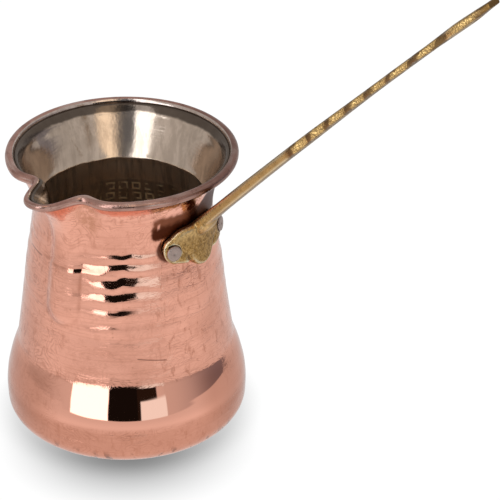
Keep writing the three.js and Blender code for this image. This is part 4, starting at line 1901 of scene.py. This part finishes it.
@dataclass
class Studio:
    """The camera, the white floor and the tent of light, which the polished metal mirrors.

    The tent's turns are counted from the camera's side of the pot and its heights from the level.
    """

    camera_place: tuple = (0.4887, -0.6083, 0.5044)
    camera_ahead: tuple = (-0.509, 0.7006, -0.5)
    lens: float = 216.0
    sensor: float = 36.0
    camera_turn: float = -51.2
    floor_half_side: float = 3.0
    contact_reach: float = 0.012
    contact_fade: Fade = Fade(0.35, 0.9, 0.76, 1.0)
    shadow_offset: float = 0.021
    shadow: Fade = Fade(0.0, 0.044, 0.18, 1.0)
    floor_glow: float = 1.03
    backdrop_glow: float = 1.1
    left_dusk: Fade = Fade(-56, -105)
    right_dusk: Fade = Fade(20, 60)
    side_light: Colour = (0.24, 0.24, 0.28, 1)
    side_darkening: Fade = Fade(36, 100)
    side_start: Fade = Fade(34, 37)
    side_end: Fade = Fade(122, 118)
    side_top: Fade = Fade(14, 19, 1, 0)
    side_ragged: float = 110.0
    low_windows: tuple = (
        Window(-18, 10, -12, 22, 0.6, 1, (0.008, 0.007, 0.006, 1)),
        Window(9, 28, -12, 19, 0.6, 2, (0.02, 0.014, 0.01, 1)),
        Window(12, 36, -12, 4.5, 0.6, 1.0, (1.0, 1.3, 1.42, 1)),
        Window(-54, -18, -12, 22, 0.8, 1, (2.5, 2.7, 2.9, 1)),
    )
    high_middle: tuple = (-16, 29, 22, 84, 1.0, 6)
    high_middle_lights: tuple = ((1.5, 1.33, 1.1, 1), (0.16, 0.17, 0.19, 1))
    high_middle_fade: Fade = Fade(13, 0)
    high_left: Window = Window(-41, -16, 22, 70, 1.0, 8, (2.6, 2.8, 3.0, 1))
    horizon: Fade = Fade(-8.6, -9.6)
    ground_near: Fade = Fade(-9, -26)
    ground_beside: Fade = Fade(70, 120)
    ground_below: Fade = Fade(-30, -64)

    def build_camera(self) -> None:
        """Places the camera and makes it the scene's."""
        data = bpy.data.cameras.new("camera")
        data.lens = self.lens
        data.sensor_width = self.sensor
        data.clip_start = 0.01
        data.clip_end = 50.0
        camera = bpy.data.objects.new("camera", data)
        camera.location = self.camera_place
        ahead = Vector(self.camera_ahead).normalized()
        camera.rotation_euler = ahead.to_track_quat("-Z", "Y").to_euler()
        bpy.context.scene.collection.objects.link(camera)
        bpy.context.scene.camera = camera

    def build_floor(self) -> None:
        """A white floor that glows for the camera, with a painted shadow: painted contact shade where the pot
        stands and a soft painted shadow pool on the camera's side of it.

        Mirrors see the tent's lower half instead of the floor.
        """
        side = self.floor_half_side / MM
        corners = np.array([[-side, -side, 0], [side, -side, 0], [side, side, 0], [-side, side, 0]])
        floor = make_piece("floor", corners, [[0, 1, 2, 3]])
        floor.visible_glossy = False
        material = bpy.data.materials.new("white_floor")
        graph = Graph.emptied(material)
        # Painted shade: occlusion near the pot and a pool offset towards the camera darken the glow that the
        # camera sees.
        contact = graph.add("AmbientOcclusion", {"samples": 12}, Distance=self.contact_reach)
        x, y, _ = graph.split(graph.add("TexCoord").outputs["Object"])
        turn = math.radians(self.camera_turn)
        along = graph.plus(x, -self.shadow_offset * math.cos(turn))
        across = graph.plus(y, -self.shadow_offset * math.sin(turn))
        pool = graph.ramp(graph.reach(along, across), *self.shadow)
        tone = graph.times(pool, graph.ramp(contact.outputs["AO"], *self.contact_fade))
        seen = graph.add("Emission", Color=graph.vector(tone, tone, tone), Strength=self.floor_glow)
        lit = graph.add("BsdfDiffuse", Color=grey(0.85))
        graph.add("OutputMaterial", Surface=graph.seen_as(seen, lit))
        floor.data.materials.append(material)

    def tent(self, graph: Graph, way: Value, azimuth: Value, height: Value) -> Value:
        """The light of the tent above the floor.

        Args:
            graph: The world's graph.
            way: The direction that is looked in.
            azimuth: Its turn from the camera's side, in degrees.
            height: Its height above the level, in degrees.

        Returns:
            The light as a colour.
        """
        wavy = graph.total((azimuth,), (graph.plus(graph.noise(way, 14.0, 5.0, 0.7), -0.5), self.side_ragged))
        side = graph.coats(grey(0.64), (self.side_light, graph.ramp(azimuth, *self.side_darkening)))
        beside = graph.times(
            graph.ramp(azimuth, *self.side_start),
            graph.ramp(wavy, *self.side_end),
            graph.ramp(height, *self.side_top),
        )
        tent = graph.coats(
            grey(0.7),
            (grey(0.58), graph.ramp(azimuth, *self.left_dusk)),
            (grey(0.62), graph.ramp(azimuth, *self.right_dusk)),
            (side, beside),
        )
        right_light, left_light = self.high_middle_lights
        streaks = graph.coats(right_light, (left_light, graph.ramp(azimuth, *self.high_middle_fade)))
        for window in (*self.low_windows, Window(*self.high_middle, streaks), self.high_left):
            soft, soft_top = window.soft, window.soft_top
            share = graph.times(
                graph.ramp(height, window.low - soft, window.low + soft),
                graph.ramp(height, window.high - soft_top, window.high + soft_top, 1, 0),
                graph.ramp(azimuth, window.left - soft, window.left + soft),
                graph.ramp(azimuth, window.right - soft, window.right + soft, 1, 0),
            )
            tent = graph.blend(share, tent, window.light)
        return tent

    def build_light(self) -> None:
        """The studio: a soft white tent with bright windows and dark openings, over a pale ground."""
        world = bpy.data.worlds.new("studio")
        graph = Graph.emptied(world)
        way = graph.add("TexCoord").outputs["Generated"]
        x, y, z = graph.split(way)
        turn = math.radians(self.camera_turn)
        towards = graph.total((x, math.cos(turn)), (y, math.sin(turn)))
        aside = graph.total((x, -math.sin(turn)), (y, math.cos(turn)))
        azimuth = graph.math("DEGREES", graph.math("ARCTAN2", aside, towards))
        height = graph.math("DEGREES", graph.math("ARCSINE", z))
        ground = graph.coats(
            grey(0.75),
            (grey(0.9), graph.ramp(height, *self.ground_near)),
            (grey(0.72), graph.ramp(graph.math("ABSOLUTE", azimuth), *self.ground_beside)),
            (grey(0.94), graph.ramp(height, *self.ground_below)),
        )
        tent = self.tent(graph, way, azimuth, height)
        around = graph.coats(tent, (ground, graph.ramp(height, *self.horizon)))
        mirrored = graph.add("Background", Color=around, Strength=1.0)
        seen = graph.add("Background", Color=grey(1.0), Strength=self.backdrop_glow)
        graph.add("OutputWorld", Surface=graph.seen_as(seen, mirrored))
        bpy.context.scene.world = world

    def build(self) -> None:
        """Builds the whole studio."""
        self.build_camera()
        self.build_floor()
        self.build_light()
        bpy.context.scene.view_settings.view_transform = "Standard"


def report(piece: bpy.types.Object) -> None:
    """Logs a piece's size."""
    size = piece.dimensions / MM
    log.info("%s: %d faces, %.1f x %.1f x %.1f mm", piece.name, len(piece.data.polygons), *size)


def main() -> None:
    """Builds the pot, its lining, its handle, its rivets and the studio."""
    logging.basicConfig(level=logging.INFO, format="%(message)s")
    shape = PotShape()
    effects = Effects()
    copper = HammeredCopper("hammered_copper", effects).build()
    lip = LipCopper("lip_copper", effects).build()
    tin = WipedTin("wiped_tin", effects).build()
    crest = WipedTin("tinned_crest", effects, metal=(0.62, 0.5, 0.44, 1.0), band_low=2 * shape.height).build()
    brass = CastBrass("cast_brass", effects).build()
    rivet_metal = RivetMetal("rivet_metal", effects).build()
    report(CopperBody(shape, copper, lip, crest).build())
    report(TinLining(shape, tin).build())
    sites = [RivetSite(shape, side) for side in Side]
    report(BrassHandle(shape, brass, sites).build())
    for site in sites:
        report(Rivet(site, rivet_metal).build())
    Studio().build()


if __name__ == "__main__":
    main()
